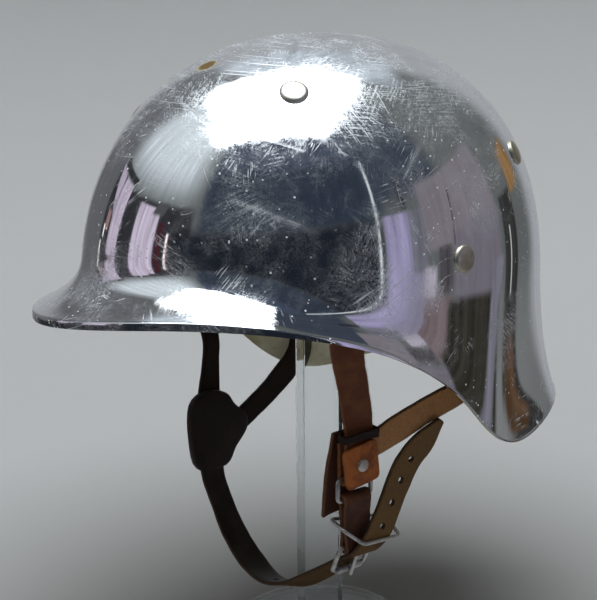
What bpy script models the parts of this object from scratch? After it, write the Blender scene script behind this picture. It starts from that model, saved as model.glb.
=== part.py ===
"""Parade helmet on a clear display stand: a plated steel shell with a leather chin strap.

Run with: blender --background --python part.py
Metres, +Z up. The helmet faces -Y, the wearer's left is +X, the stand's base rests on Z = 0.
Tables that describe shapes are in millimetres, and MM turns them into metres.
"""
import math

import bpy
import bmesh
from mathutils import Matrix, Vector

MM = 0.001
GAP = 0.0003                # air left between pieces that touch

# Shell: an oval dome whose lower edge flares into a brim and a neck guard
SHELL_THICK = 0.0012
SHELL_SIDE = 0.1028         # half width of the dome
SHELL_FRONT = 0.133         # centre to forehead
SHELL_BACK = 0.138          # centre to nape
PLAN_POWER = 1.85           # 2 is an ellipse, less is more pointed
DOME_Z = 0.2134             # height where the dome starts to close in
DOME_HEIGHT = 0.1278
DOME_POWER = 2.2
FLARE_POWER = 3.0
SHELL_COLUMNS = 56
SHELL_RINGS = 18

# Rim, one row each: degrees from the front, flare past the dome, height, lip, height of the flare
RIM = (
    # angle flare   z   lip  rise
    (0,    25.0, 216.0, 3.6, 27.0),
    (30,   18.5, 218.3, 3.6, 28.0),
    (50,   10.0, 211.2, 2.6, 34.0),
    (70,    4.5, 197.8, 2.0, 32.0),
    (90,    2.0, 175.6, 1.4, 32.0),
    (110,   1.2, 142.8, 1.2, 44.0),
    (125,   2.5, 133.0, 1.2, 86.0),
    (150,  12.0, 140.5, 1.2, 112.0),
    (180,  18.0, 140.8, 1.2, 90.0),
)
# The right front of the brim sits lower: how much, at which angle, over how many degrees
BRIM_DIP = (8.5, -32, 30)

# Rivets: degrees from the front, share of the dome's height
RIVETS = {
    "front_left": (44, 0.779),
    "front_right": (-29, 0.685),
    "side_left": (94, 0.177),
    "side_right": (-94, 0.177),
    "rear_left": (137, 0.521),
    "rear_right": (-137, 0.521),
}
RIVET_HEAD_R = 0.0067
RIVET_HEAD_H = 0.0019
RIVET_SHANK_R = 0.0020
RIVET_HOLE_R = 0.0024
INSIDE_ROOM = 0.0008        # room left at the faceted inner wall
STRAP_ROOM = 0.0018         # room for a flat strap end inside the curved wall

# Leather
STRAP_W = 0.0165
STRAP_T = 0.0022
STUD_R = 0.0045
STUD_SHANK_R = 0.0016
STUD_HOLE_R = 0.0020

# Buckle and ring, all with their bars along Y
WIRE_R = 0.0012
BAR_HALF = 0.0105           # half the length of the ring's and the buckle's bars
FOLD_R = WIRE_R + GAP + STRAP_T / 2
RING_TOP = Vector((64.0, -27.5, 125.5)) * MM
RING_BOTTOM = Vector((64.0, -27.5, 114.0)) * MM
BUCKLE_HINGE = Vector((53.5, -17.5, 82.5)) * MM
BUCKLE_ROLLER = Vector((46.0, -17.0, 66.8)) * MM
BUCKLE_OUT = Vector((0.90, 0.0, -0.43)).normalized()
ROLLER_R = 0.0023
ROLLER_LENGTH = 0.0160
PRONG_R = 0.0010

# Tab that joins the two left straps
TAB_SIZE = 0.0215
TAB_T = 0.0020
TAB_CENTRE = Vector((69.3, -27.5, 133.0)) * MM
TAB_TURN = 8                # degrees

# Clear stand
BASE_R = 0.050
BASE_T = 0.008
BAR_W = 0.027
BAR_T = 0.008
TOP_R = 0.030
TOP_T = 0.006

# Straps, one row each section: centre x y z, width direction x y z, share of the width
CHIN_ROWS = (
    # x      y      z     wx    wy     wz  share
    (-67.5, -29.5, 108.5, 0.0, 0.95, -0.30, 1.0),
    (-66.9, -30.0,  97.0, 0.0, 0.95, -0.32, 1.0),
    (-64.3, -30.0,  84.0, 0.0, 0.95, -0.30, 1.0),
    (-57.8, -28.0,  69.0, 0.0, 0.97, -0.22, 1.0),
    (-47.0, -27.0,  55.0, 0.0, 1.00, -0.10, 1.0),
    (-33.0, -25.5,  43.0, 0.0, 1.00, -0.02, 1.0),
    (-14.0, -25.0,  38.0, 0.0, 0.98, -0.18, 1.0),
    (8.0,   -24.0,  43.5, 0.0, 0.93, -0.38, 1.0),
    (26.0,  -21.0,  55.5, 0.0, 0.93, -0.36, 1.0),
    (41.5,  -17.5,  68.9, 0.0, 1.00, -0.10, 1.0),
    (49.4,  -17.0,  74.9, 0.0, 1.00, 0.00, 1.0),
    (58.7,  -16.5,  80.0, 0.0, 1.00, -0.05, 1.0),
    (63.5,  -12.5,  89.0, 0.0, 0.97, -0.22, 1.0),
    (64.2,   -6.5, 100.0, 0.0, 0.93, -0.38, 1.0),
    (64.0,    0.5, 112.5, 0.0, 0.90, -0.45, 1.0),
    (64.0,    8.0, 125.0, 0.0, 0.89, -0.46, 1.0),
    (66.0,   16.5, 136.0, 0.0, 0.85, -0.53, 0.9),
    (68.0,   25.5, 146.0, 0.0, 0.80, -0.60, 0.25),
)
# Punched holes along the free end, numbered by the row they lie on
CHIN_HOLES = (12.5, 13.45, 14.3, 15.15)
CHIN_SPARE_HOLE = 6.25
CHIN_HOLE_R = 0.0017

# Hung straps: x counts from a share of the shell's half width, the last column, so upper rows keep to the wall
LEFT_FRONT_ROWS = (
    # x      y      z     wx    wy    wz   share side
    (-17.3, -50.0, 199.0, 0.42, 0.88, -0.20, 1.0, 1.0),
    (-24.8, -41.0, 181.0, 0.32, 0.93, -0.18, 1.0, 1.0),
    (20.4, -33.2, 165.0, 0.20, 0.97, -0.12, 1.0, 0.5),
    (67.8, -28.7, 153.0, 0.08, 1.00, -0.04, 1.0, 0.0),
    (66.6, -27.5, 144.0, 0.0, 1.0, 0.0, 1.0, 0.0),
    (66.6, -27.5, 129.0, 0.0, 1.0, 0.0, 1.0, 0.0),
)
LEFT_REAR_ROWS = (
    (-11.3,  41.0, 178.0, -0.35, 0.80, -0.40, 1.0, 1.0),
    (-14.8,  24.0, 166.0, -0.10, 0.72, -0.62, 1.0, 1.0),
    (29.6,   8.5, 156.5, 0.00, 0.70, -0.70, 1.0, 0.5),
    (52.4,  -4.0, 147.5, 0.00, 0.60, -0.80, 0.95, 0.2),
    (65.2, -12.5, 141.2, 0.00, 0.50, -0.87, 0.85, 0.0),
    (63.9, -19.0, 138.2, 0.00, 0.40, -0.92, 0.75, 0.0),
    (63.9, -31.0, 134.8, 0.00, 0.30, -0.95, 0.70, 0.0),
)
RIGHT_FRONT_ROWS = (
    (10.3, -25.0, 196.0, -0.35, 0.92, -0.10, 1.0, -1.0),
    (-13.5, -17.5, 168.0, -0.45, 0.88, -0.15, 1.0, -0.7),
    (-48.2, -21.5, 151.0, -0.40, 0.90, -0.20, 1.0, -0.3),
    (-70.6, -28.0, 135.0, -0.15, 0.96, -0.20, 1.0, 0.0),
    (-68.0, -30.0, 123.0, 0.00, 0.97, -0.22, 1.0, 0.0),
    (-67.7, -30.5, 114.0, 0.00, 0.97, -0.22, 1.0, 0.0),
)
RIGHT_REAR_ROWS = (
    (14.3,  50.5, 164.0, 0.30, 0.85, -0.40, 1.0, -1.0),
    (17.8,  47.0, 144.0, 0.05, 0.66, -0.75, 1.0, -1.0),
    (-36.4,  24.0, 129.5, 0.00, 0.62, -0.79, 0.9, -0.4),
    (-70.5,   0.0, 118.5, 0.00, 0.62, -0.79, 0.85, 0.0),
    (-67.6, -13.5, 112.8, 0.00, 0.60, -0.80, 0.80, 0.0),
)
FLAP_ROWS = (
    (58.0, -30.0, 148.0, 0.0, 1.00, 0.00, 0.9),
    (57.5, -30.0, 134.0, 0.0, 1.00, 0.00, 1.1),
    (56.0, -31.0, 119.0, 0.0, 1.00, 0.00, 1.1),
    (52.5, -32.0, 104.0, 0.0, 0.97, 0.10, 0.9),
)
# Outline of the right strap joint seen from the side: y z
JOINT_OUTLINE = (
    (-43, 131), (-32, 138), (-19, 135), (-13, 127), (-5, 119),
    (-5, 110), (-13, 100), (-20, 90), (-39, 91), (-44, 110),
)
JOINT_X = -67.6 * MM
JOINT_T = 0.0072
# Wire keeper that holds the free end down, corner by corner: x y z
KEEPER_CORNERS = (
    (65.9, -22.5, 88.0), (65.9, 1.5, 86.5), (54.0, 1.5, 94.0), (52.4, -33.6, 100.0), (63.4, -33.6, 97.5),
)

# Where the straps reach the inner wall: degrees from the front, height of the end
STRAP_TOPS = {
    "left_front": (60, 240),
    "left_rear": (119, 206),
    "right_front": (-74, 238),
    "right_rear": (-119, 200),
}

for old in list(bpy.data.objects):
    bpy.data.objects.remove(old)

parts = bpy.data.collections.new("parade_helmet")
cutters = bpy.data.collections.new("cutters")
for collection in (parts, cutters):
    bpy.context.scene.collection.children.link(collection)


def material(name, colour, roughness, metallic, alpha=1.0):
    """A Principled material for one kind of surface."""
    made = bpy.data.materials.new(name)
    made.use_nodes = True
    shader = made.node_tree.nodes["Principled BSDF"]
    shader.inputs["Base Color"].default_value = (*colour, 1.0)
    shader.inputs["Roughness"].default_value = roughness
    shader.inputs["Metallic"].default_value = metallic
    shader.inputs["Alpha"].default_value = alpha
    made.diffuse_color = (*colour, alpha)
    return made


PLATE = material("plated_steel", (0.62, 0.63, 0.66), 0.12, 1.0)
NICKEL = material("nickel", (0.60, 0.59, 0.55), 0.30, 1.0)
BROWN = material("brown_leather", (0.16, 0.070, 0.035), 0.75, 0.0)
TAN = material("tan_leather", (0.42, 0.17, 0.055), 0.70, 0.0)
BLACK = material("black_leather", (0.022, 0.016, 0.014), 0.55, 0.0)
CLEAR = material("clear_acrylic", (0.85, 0.88, 0.90), 0.08, 0.0, 0.35)


def add_object(name, mesh, look, collection=parts):
    """Link a mesh as a named object with one material."""
    made = bpy.data.objects.new(name, mesh)
    if look:
        mesh.materials.append(look)
    collection.objects.link(made)
    if collection == cutters:
        made.hide_render = True
        made.display_type = 'WIRE'
    return made


def mesh_from(name, points, faces):
    """A mesh with every face turned outward."""
    mesh = bpy.data.meshes.new(name)
    mesh.from_pydata([tuple(point) for point in points], [], faces)
    work = bmesh.new()
    work.from_mesh(mesh)
    bmesh.ops.recalc_face_normals(work, faces=work.faces)
    work.to_mesh(mesh)
    work.free()
    return mesh


def cut(target, cutter):
    """Subtract one object from another."""
    step = target.modifiers.new("cut_" + cutter.name, 'BOOLEAN')
    step.operation = 'DIFFERENCE'
    step.solver = 'EXACT'
    step.object = cutter


def curve_between(rows, where):
    """Smooth row of numbers at a place along the rows, counted from 0."""
    last = len(rows) - 1
    first = min(int(where), last - 1)
    t = where - first
    a, b, c, d = (rows[max(0, min(last, first + k))] for k in (-1, 0, 1, 2))
    return [
        0.5 * (2 * q + (r - p) * t + (2 * p - 5 * q + 4 * r - s) * t * t + (3 * q - p - 3 * r + s) * t ** 3)
        for p, q, r, s in zip(a, b, c, d)
    ]


# Shell

def plan_radius(angle):
    """Distance from the centre line to the foot of the dome, for an angle from the front."""
    fore = SHELL_FRONT if math.cos(angle) > 0 else SHELL_BACK
    side_share = abs(math.sin(angle) / SHELL_SIDE) ** PLAN_POWER
    fore_share = abs(math.cos(angle) / fore) ** PLAN_POWER
    return (side_share + fore_share) ** (-1 / PLAN_POWER)


def rim_at(angle):
    """Flare, height, lip and rise of the flare, in metres, at an angle from the front."""
    turn = math.degrees(math.atan2(math.sin(angle), math.cos(angle)))
    degrees = abs(turn)
    rows = [(-RIM[1][0], *RIM[1][1:]), *RIM, (360 - RIM[-2][0], *RIM[-2][1:])]
    index = max(k for k in range(1, len(rows) - 2) if rows[k][0] <= degrees + 1e-9)
    a, b, c, d = rows[index - 1:index + 3]
    span = c[0] - b[0]
    t = (degrees - b[0]) / span
    values = []
    for k in range(1, 5):
        slope_b = (c[k] - a[k]) / (c[0] - a[0]) * span
        slope_c = (d[k] - b[k]) / (d[0] - b[0]) * span
        values.append(
            (2 * t ** 3 - 3 * t ** 2 + 1) * b[k] + (t ** 3 - 2 * t ** 2 + t) * slope_b
            + (3 * t ** 2 - 2 * t ** 3) * c[k] + (t ** 3 - t ** 2) * slope_c)
    drop, centre, spread = BRIM_DIP
    values[1] -= drop * math.exp(-((turn - centre) / spread) ** 2)
    return [value * MM for value in values]


def outer_radius(angle, z):
    """Outer radius of the shell at a height."""
    closing = max(0.0, (z - DOME_Z) / DOME_HEIGHT)
    wall = plan_radius(angle) * max(0.0, 1 - closing ** DOME_POWER) ** (1 / DOME_POWER)
    flare, rim_z, _, rise = rim_at(angle)
    share = min(1.0, max(0.0, 1 - (z - rim_z) / rise))
    return wall + flare * share ** FLARE_POWER


def outer_point(angle, z):
    radius = outer_radius(angle, z)
    return Vector((radius * math.sin(angle), -radius * math.cos(angle), z))


def outer_normal(angle, z):
    """Direction straight out of the shell."""
    across = outer_point(angle + 0.01, z) - outer_point(angle - 0.01, z)
    upward = outer_point(angle, z + 0.0004) - outer_point(angle, z - 0.0004)
    return across.cross(upward).normalized()


def build_shell():
    """The open outer surface, thickened inward."""
    angles = [2 * math.pi * k / SHELL_COLUMNS for k in range(SHELL_COLUMNS)]
    rings = []
    for k in range(1, SHELL_RINGS + 1):
        tilt = math.pi / 2 * (1 - (1 - k / SHELL_RINGS) ** 1.5)
        level = math.cos(tilt) ** (2 / DOME_POWER) if k < SHELL_RINGS else 0.0
        rims = [rim_at(a)[1] for a in angles]
        rings.append([
            outer_point(a, z + (DOME_Z + DOME_HEIGHT - z) * level) for a, z in zip(angles, rims)])
    edge = []
    for a, spot in zip(angles, rings[-1]):
        edge.append(spot + Vector((0.0006 * math.sin(a), -0.0006 * math.cos(a), -rim_at(a)[2])))
    rings.append(edge)

    points = [(0, 0, DOME_Z + DOME_HEIGHT)] + [point for ring in rings for point in ring]
    faces = [(0, 1 + k, 1 + (k + 1) % SHELL_COLUMNS) for k in range(SHELL_COLUMNS)]
    for row in range(len(rings) - 1):
        for k in range(SHELL_COLUMNS):
            here = 1 + row * SHELL_COLUMNS
            after = (k + 1) % SHELL_COLUMNS
            faces.append((here + k, here + SHELL_COLUMNS + k, here + SHELL_COLUMNS + after, here + after))
    mesh = bpy.data.meshes.new("shell")
    mesh.from_pydata(points, [], faces)
    shell = add_object("shell", mesh, PLATE)
    wall = shell.modifiers.new("wall", 'SOLIDIFY')
    wall.thickness = SHELL_THICK
    wall.offset = -1
    wall.use_even_offset = True
    return shell


def place(made, spot, outward):
    """Stand an object on a spot with its +Z along a direction."""
    made.matrix_world = Matrix.Translation(spot) @ outward.to_track_quat('Z', 'Y').to_matrix().to_4x4()


def turned(name, profile, look, steps=16):
    """A solid of revolution about Z from a profile that runs from the top to the bottom."""
    mesh = bpy.data.meshes.new(name)
    edges = [(k, k + 1) for k in range(len(profile) - 1)]
    mesh.from_pydata([(radius, 0, height) for radius, height in profile], edges, [])
    made = add_object(name, mesh, look)
    spin = made.modifiers.new("turn", 'SCREW')
    spin.steps = steps
    spin.render_steps = steps
    spin.use_merge_vertices = True
    spin.merge_threshold = 0.00001
    return made


def drill(name, spot, outward, radius, depth, collection=cutters):
    """A round cutter through a spot."""
    mesh = bpy.data.meshes.new(name)
    work = bmesh.new()
    bmesh.ops.create_cone(
        work, cap_ends=True, segments=16, radius1=radius, radius2=radius, depth=depth)
    work.to_mesh(mesh)
    work.free()
    made = add_object(name, mesh, None, collection)
    place(made, spot, outward)
    return made


def build_rivet(place_name, degrees, share, shell):
    """A flat domed rivet through the shell, clinched inside."""
    angle = math.radians(degrees)
    height = DOME_Z + DOME_HEIGHT * share
    spot = outer_point(angle, height)
    outward = outer_normal(angle, height)
    inside = SHELL_THICK + INSIDE_ROOM
    profile = (
        (0.0, GAP + RIVET_HEAD_H), (RIVET_HEAD_R * 0.62, GAP + RIVET_HEAD_H * 0.88),
        (RIVET_HEAD_R * 0.90, GAP + RIVET_HEAD_H * 0.52), (RIVET_HEAD_R, GAP),
        (RIVET_SHANK_R, GAP), (RIVET_SHANK_R, -inside), (RIVET_SHANK_R * 1.9, -inside),
        (RIVET_SHANK_R * 1.5, -inside - 0.0009), (0.0, -inside - 0.0010))
    rivet = turned("rivet_" + place_name, profile, NICKEL)
    place(rivet, spot, outward)
    hole = drill("hole_" + place_name, spot, outward, RIVET_HOLE_R, 0.012)
    cut(shell, hole)


# Leather

def ribbon_mesh(name, rows, width, thick, steps=2, closed=False):
    """A flat strap that follows its rows."""
    count = len(rows) * steps if closed else (len(rows) - 1) * steps + 1
    sections = []
    for k in range(count):
        if closed:
            looped = [rows[(j - 1) % len(rows)] for j in range(len(rows) + 3)]
            sections.append(curve_between(looped, 1 + k / steps))
        else:
            sections.append(curve_between(rows, k / steps))
    centres = [Vector(section[:3]) * MM for section in sections]
    points = []
    for k, section in enumerate(sections):
        if closed:
            along = centres[(k + 1) % count] - centres[k - 1]
        else:
            along = centres[min(k + 1, count - 1)] - centres[max(k - 1, 0)]
        across = Vector(section[3:6]).normalized()
        outward = across.cross(along).normalized()
        half = across * width * section[6] / 2
        for side, face in ((-1, -1), (1, -1), (1, 1), (-1, 1)):
            points.append(centres[k] + half * side + outward * face * thick / 2)
    faces = []
    for k in range(count if closed else count - 1):
        here, after = 4 * k, 4 * ((k + 1) % count)
        for j in range(4):
            nxt = (j + 1) % 4
            faces.append((here + j, here + nxt, after + nxt, after + j))
    if not closed:
        faces.append((3, 2, 1, 0))
        end = 4 * (count - 1)
        faces.append((end, end + 1, end + 2, end + 3))
    return mesh_from(name, points, faces)


def wall_rows(strap):
    """The rows where a strap lies against the inner wall, top first."""
    degrees, top = STRAP_TOPS[strap]
    angle = math.radians(degrees)
    across = outer_point(angle + 0.01, top * MM) - outer_point(angle - 0.01, top * MM)
    across = across.normalized() * math.copysign(1, across.y)
    rows = []
    for z in (top, top - 8, top - 15):
        inward = SHELL_THICK + STRAP_ROOM + STRAP_T / 2
        spot = outer_point(angle, z * MM) - outer_normal(angle, z * MM) * inward
        rows.append((*(spot / MM), *across, 1.0))
    return rows


def placed(rows):
    """Rows with x counted from the centre line, without the last column."""
    return [(x + side * SHELL_SIDE / MM, *rest) for x, *rest, side in rows]


def build_hung_strap(strap, rows, look, steps=2):
    """A strap from the inner wall down, with the stud that holds its top."""
    full = wall_rows(strap) + rows
    made = add_object(strap + "_strap", ribbon_mesh(strap, full, STRAP_W, STRAP_T, steps), look)
    degrees, top = STRAP_TOPS[strap]
    angle = math.radians(degrees)
    height = (top - 6) * MM
    outward = outer_normal(angle, height)
    face = outer_point(angle, height) - outward * (SHELL_THICK + INSIDE_ROOM)
    head = INSIDE_ROOM - STRAP_ROOM - STRAP_T - GAP
    profile = (
        (0.0, 0.0), (STUD_SHANK_R, 0.0), (STUD_SHANK_R, head), (STUD_R, head),
        (STUD_R * 0.8, head - 0.0013), (0.0, head - 0.0016))
    stud = turned(strap + "_stud", profile, NICKEL, 12)
    place(stud, face, outward)
    cut(made, drill("hole_" + strap + "_stud", face, outward, STUD_HOLE_R, 0.012))
    return made, full


def fold_rows(bar, start, stop, count, across=(0.0, 1.0, 0.0), radius=FOLD_R):
    """Rows of a strap that bends around a bar along Y; angles in degrees, 0 is +X, 90 is down."""
    rows = []
    for k in range(count):
        turn = math.radians(start + (stop - start) * k / (count - 1))
        spot = bar + Vector((math.cos(turn), 0, -math.sin(turn))) * radius
        rows.append((*(spot / MM), *across, 1.0))
    return rows


def build_left_straps():
    """Front strap folded around the ring, and the rear strap held in the fold."""
    fold = fold_rows(RING_TOP, 0, 180, 5)
    back = RING_TOP.x / MM - FOLD_R / MM
    tail = [(back, -27.5, z, 0.0, 1.0, 0.0, 1.0) for z in (129.0, 143.5)]
    front, _ = build_hung_strap("left_front", placed(LEFT_FRONT_ROWS) + fold + tail, BROWN)
    rear, _ = build_hung_strap("left_rear", placed(LEFT_REAR_ROWS), TAN)
    return front, rear


def build_strap_loop():
    """Small dark band around the left front strap."""
    centre = Vector((67.5, -28.3, 152.0)) * MM
    inner_x, inner_y = STRAP_T / 2 + 0.0013, STRAP_W / 2 + 0.0014
    wall, high = 0.0016, 0.0055
    points, faces = [], []
    for grow, up in ((0, -1), (wall, -1), (wall, 1), (0, 1)):
        for sx, sy in ((-1, -1), (1, -1), (1, 1), (-1, 1)):
            points.append(centre + Vector((
                sx * (inner_x + grow), sy * (inner_y + grow) + 0.0004 * sx, up * high / 2 + sx * 0.0003)))
    for k in range(4):
        for j in range(4):
            here, after = 4 * k, 4 * ((k + 1) % 4)
            faces.append((here + j, here + (j + 1) % 4, after + (j + 1) % 4, after + j))
    tilt = Matrix.Rotation(math.radians(11), 4, 'Y')
    points = [centre + tilt @ (point - centre) for point in points]
    add_object("left_strap_loop", mesh_from("left_strap_loop", points, faces), BLACK)


def build_tab(front, rear):
    """Square leather tab and the rivet that goes through it and the straps."""
    mesh = bpy.data.meshes.new("left_tab")
    work = bmesh.new()
    bmesh.ops.create_cube(work, size=1)
    work.to_mesh(mesh)
    work.free()
    tab = add_object("left_tab", mesh, TAN)
    tab.scale = (TAB_T, TAB_SIZE, TAB_SIZE)
    tab.rotation_euler.x = math.radians(TAB_TURN)
    tab.location = TAB_CENTRE
    edge = tab.modifiers.new("edge", 'BEVEL')
    edge.width = 0.0006
    edge.segments = 1
    outward = Vector((1, 0, 0))
    face = TAB_CENTRE + outward * (TAB_T / 2 + GAP)
    back = RING_TOP.x - FOLD_R - STRAP_T / 2 - GAP
    length = face.x - back
    profile = (
        (0.0, 0.0017), (0.0024, 0.0013), (0.0033, 0.0), (STUD_SHANK_R, 0.0), (STUD_SHANK_R, -length),
        (0.0030, -length), (0.0026, -length - 0.0009), (0.0, -length - 0.0010))
    rivet = turned("left_tab_rivet", profile, NICKEL, 16)
    place(rivet, face, outward)
    hole = drill("hole_tab", face, outward, STUD_HOLE_R, 0.024)
    for made in (tab, front, rear):
        cut(made, hole)


def wire(name, corners, radius, look, closed=True, rounding=0.0022):
    """Round wire through corners, with each corner eased."""
    corners = [Vector(corner) for corner in corners]
    path = []
    count = len(corners)
    for k, corner in enumerate(corners):
        if not closed and k in (0, count - 1):
            path.append(corner)
            continue
        before = (corners[k - 1] - corner)
        after = (corners[(k + 1) % count] - corner)
        reach = min(rounding, before.length / 2.2, after.length / 2.2)
        start = corner + before.normalized() * reach
        end = corner + after.normalized() * reach
        for t in (0.0, 0.5, 1.0):
            path.append(start * (1 - t) ** 2 + corner * 2 * t * (1 - t) + end * t * t)
    data = bpy.data.curves.new(name, 'CURVE')
    data.dimensions = '3D'
    data.bevel_depth = radius
    data.bevel_resolution = 1
    data.use_fill_caps = not closed
    line = data.splines.new('POLY')
    line.points.add(len(path) - 1)
    for point, spot in zip(line.points, path):
        point.co = (*spot, 1.0)
    line.use_cyclic_u = closed
    made = bpy.data.objects.new(name, data)
    data.materials.append(look)
    parts.objects.link(made)
    return made


def bar_pair(top, bottom):
    """Corners of a rectangular wire with bars along Y."""
    half = Vector((0, BAR_HALF, 0))
    return top - half, top + half, bottom + half, bottom - half


def build_buckle():
    """Ring, folded buckle strap, buckle with roller and prong, and the wire keeper."""
    wire("left_ring", bar_pair(RING_TOP, RING_BOTTOM), WIRE_R, NICKEL)
    wire("buckle_frame", bar_pair(BUCKLE_HINGE, BUCKLE_ROLLER), WIRE_R, NICKEL)
    wire("keeper_wire", [Vector(corner) * MM for corner in KEEPER_CORNERS], 0.0010, NICKEL)

    legs = BUCKLE_HINGE - RING_BOTTOM
    lean = math.degrees(math.atan2(-legs.x, -legs.z))
    upper = fold_rows(RING_BOTTOM, 180 + lean, 360 + lean, 5)
    lower = fold_rows(BUCKLE_HINGE, lean, 180 + lean, 5)
    pinch = []
    for share, sign in ((0.28, 1), (0.5, 1), (0.72, 1), (0.72, -1), (0.5, -1), (0.28, -1)):
        spot = RING_BOTTOM + legs * share
        out = Vector((math.cos(math.radians(lean)), 0, -math.sin(math.radians(lean))))
        spot = spot + out * sign * (STRAP_T / 2 + GAP)
        pinch.append((*(spot / MM), 0.0, 1.0, 0.0, 1.0))
    rows = upper + pinch[:3] + lower + pinch[3:]
    mesh = ribbon_mesh("buckle_strap", rows, STRAP_W, STRAP_T, 1, closed=True)
    buckle_strap = add_object("buckle_strap", mesh, BROWN)

    roller_hole = WIRE_R + GAP
    half = ROLLER_LENGTH / 2
    profile = (
        (ROLLER_R, half), (ROLLER_R, -half), (roller_hole, -half), (roller_hole, half), (ROLLER_R, half))
    roller = turned("buckle_roller", profile, NICKEL, 14)
    place(roller, BUCKLE_ROLLER, Vector((0, 1, 0)))

    reach = PRONG_R + GAP
    towards = BUCKLE_ROLLER - BUCKLE_HINGE
    start = BUCKLE_HINGE + BUCKLE_OUT * (WIRE_R + reach) - towards * 0.08
    end = BUCKLE_ROLLER + BUCKLE_OUT * (ROLLER_R + reach) + towards * 0.12
    wire("buckle_prong", (start, start.lerp(end, 0.5), end), PRONG_R, NICKEL, closed=False)
    slot = drill(
        "slot_prong", start.lerp(end, 0.5), (end - start).normalized(), PRONG_R + 0.0006,
        (end - start).length + 0.003)
    cut(buckle_strap, slot)
    return slot


def build_chin_strap(slot):
    """The long strap: joint, under the chin, buckle, free end with punched holes."""
    mesh = ribbon_mesh("chin_strap", CHIN_ROWS, STRAP_W, STRAP_T, 3)
    chin = add_object("chin_strap", mesh, BLACK)
    for k, where in enumerate(CHIN_HOLES + (CHIN_SPARE_HOLE,)):
        here = curve_between(CHIN_ROWS, where)
        ahead = Vector(curve_between(CHIN_ROWS, where + 0.05)[:3])
        behind = Vector(curve_between(CHIN_ROWS, where - 0.05)[:3])
        across = Vector(here[3:6]).normalized()
        outward = across.cross(ahead - behind).normalized()
        hole = drill("punch_%d" % k, Vector(here[:3]) * MM, outward, CHIN_HOLE_R, 0.008)
        cut(chin, hole)
    cut(chin, slot)
    return chin


def longer(rows, reach=1.0):
    """The same rows with both ends moved on by a little."""
    first = Vector(rows[0][:3]) + (Vector(rows[0][:3]) - Vector(rows[1][:3])).normalized() * reach
    last = Vector(rows[-1][:3]) + (Vector(rows[-1][:3]) - Vector(rows[-2][:3])).normalized() * reach
    return [(*first, *rows[0][3:]), *rows[1:-1], (*last, *rows[-1][3:])]


def build_right_side():
    """Two dark straps and the black leather joint they meet in."""
    _, front_rows = build_hung_strap("right_front", placed(RIGHT_FRONT_ROWS), BLACK)
    _, rear_rows = build_hung_strap("right_rear", placed(RIGHT_REAR_ROWS), BLACK)
    points = []
    for side in (-1, 1):
        points += [(JOINT_X + side * JOINT_T / 2, y * MM, z * MM) for y, z in JOINT_OUTLINE]
    count = len(JOINT_OUTLINE)
    faces = [tuple(range(count)), tuple(range(2 * count - 1, count - 1, -1))]
    for k in range(count):
        after = (k + 1) % count
        faces.append((k, after, count + after, count + k))
    joint = add_object("right_strap_joint", mesh_from("right_strap_joint", points, faces), BLACK)
    edge = joint.modifiers.new("edge", 'BEVEL')
    edge.width = 0.0012
    edge.segments = 1
    edge.limit_method = 'ANGLE'
    edge.angle_limit = math.radians(60)
    slots = (("front", front_rows, 2), ("rear", rear_rows, 2), ("chin", CHIN_ROWS[:7], 3))
    for slot_name, rows, steps in slots:
        grown = ribbon_mesh(
            "slot_" + slot_name, longer(rows), STRAP_W + 4 * GAP, STRAP_T + 6 * GAP, steps)
        cut(joint, add_object("slot_" + slot_name, grown, None, cutters))


def build_flap():
    """Leather flap behind the ring and the buckle strap."""
    add_object("left_flap", ribbon_mesh("left_flap", FLAP_ROWS, STRAP_W, STRAP_T, 2), BROWN)


# Stand

def build_stand():
    """Round base, flat upright bar, and the round top the dome rests on."""
    base_profile = (
        (0.0, BASE_T), (BASE_R - 0.0012, BASE_T), (BASE_R, BASE_T - 0.0012), (BASE_R, 0.0), (0.0, 0.0))
    turned("stand_base", base_profile, CLEAR, 48)
    under_dome = DOME_Z + DOME_HEIGHT - SHELL_THICK - INSIDE_ROOM
    drop = under_dome - (dome_height_at(TOP_R) - SHELL_THICK - INSIDE_ROOM)
    top_profile = (
        (0.0, under_dome), (TOP_R * 0.5, under_dome - drop * 0.27), (TOP_R, under_dome - drop),
        (TOP_R, under_dome - drop - TOP_T), (0.0, under_dome - drop - TOP_T))
    turned("stand_top", top_profile, CLEAR, 28)
    low, high = BASE_T + GAP, under_dome - drop - TOP_T - GAP
    mesh = bpy.data.meshes.new("stand_bar")
    work = bmesh.new()
    bmesh.ops.create_cube(work, size=1)
    work.to_mesh(mesh)
    work.free()
    bar = add_object("stand_bar", mesh, CLEAR)
    bar.scale = (BAR_T, BAR_W, high - low)
    bar.location = (0, 0, (low + high) / 2)


def dome_height_at(radius):
    """Height of the dome's outer surface at a distance from the centre line, at the side."""
    share = 1 - (radius / SHELL_SIDE) ** DOME_POWER
    return DOME_Z + DOME_HEIGHT * share ** (1 / DOME_POWER)


shell = build_shell()
for rivet_name, (rivet_degrees, rivet_share) in RIVETS.items():
    build_rivet(rivet_name, rivet_degrees, rivet_share, shell)
front_strap, rear_strap = build_left_straps()
build_strap_loop()
build_tab(front_strap, rear_strap)
build_flap()
prong_slot = build_buckle()
build_chin_strap(prong_slot)
build_right_side()
build_stand()
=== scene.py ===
# %% [markdown]
# # Parade helmet on a clear stand
# A bright plated steel shell with a flared brim and a long neck guard hangs over a round clear stand.
# Leather straps run from its inner wall to a black joint on the right and to a ring and buckle on the left.
# This script loads the measured solids as a frame, then dresses them: a smooth shell, real straps, wire
# hardware, and materials that are worked out from noise instead of pictures.

# %% Load the frame
import math
import bmesh
import bpy
import numpy as np
from mathutils import Matrix, Vector


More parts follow.
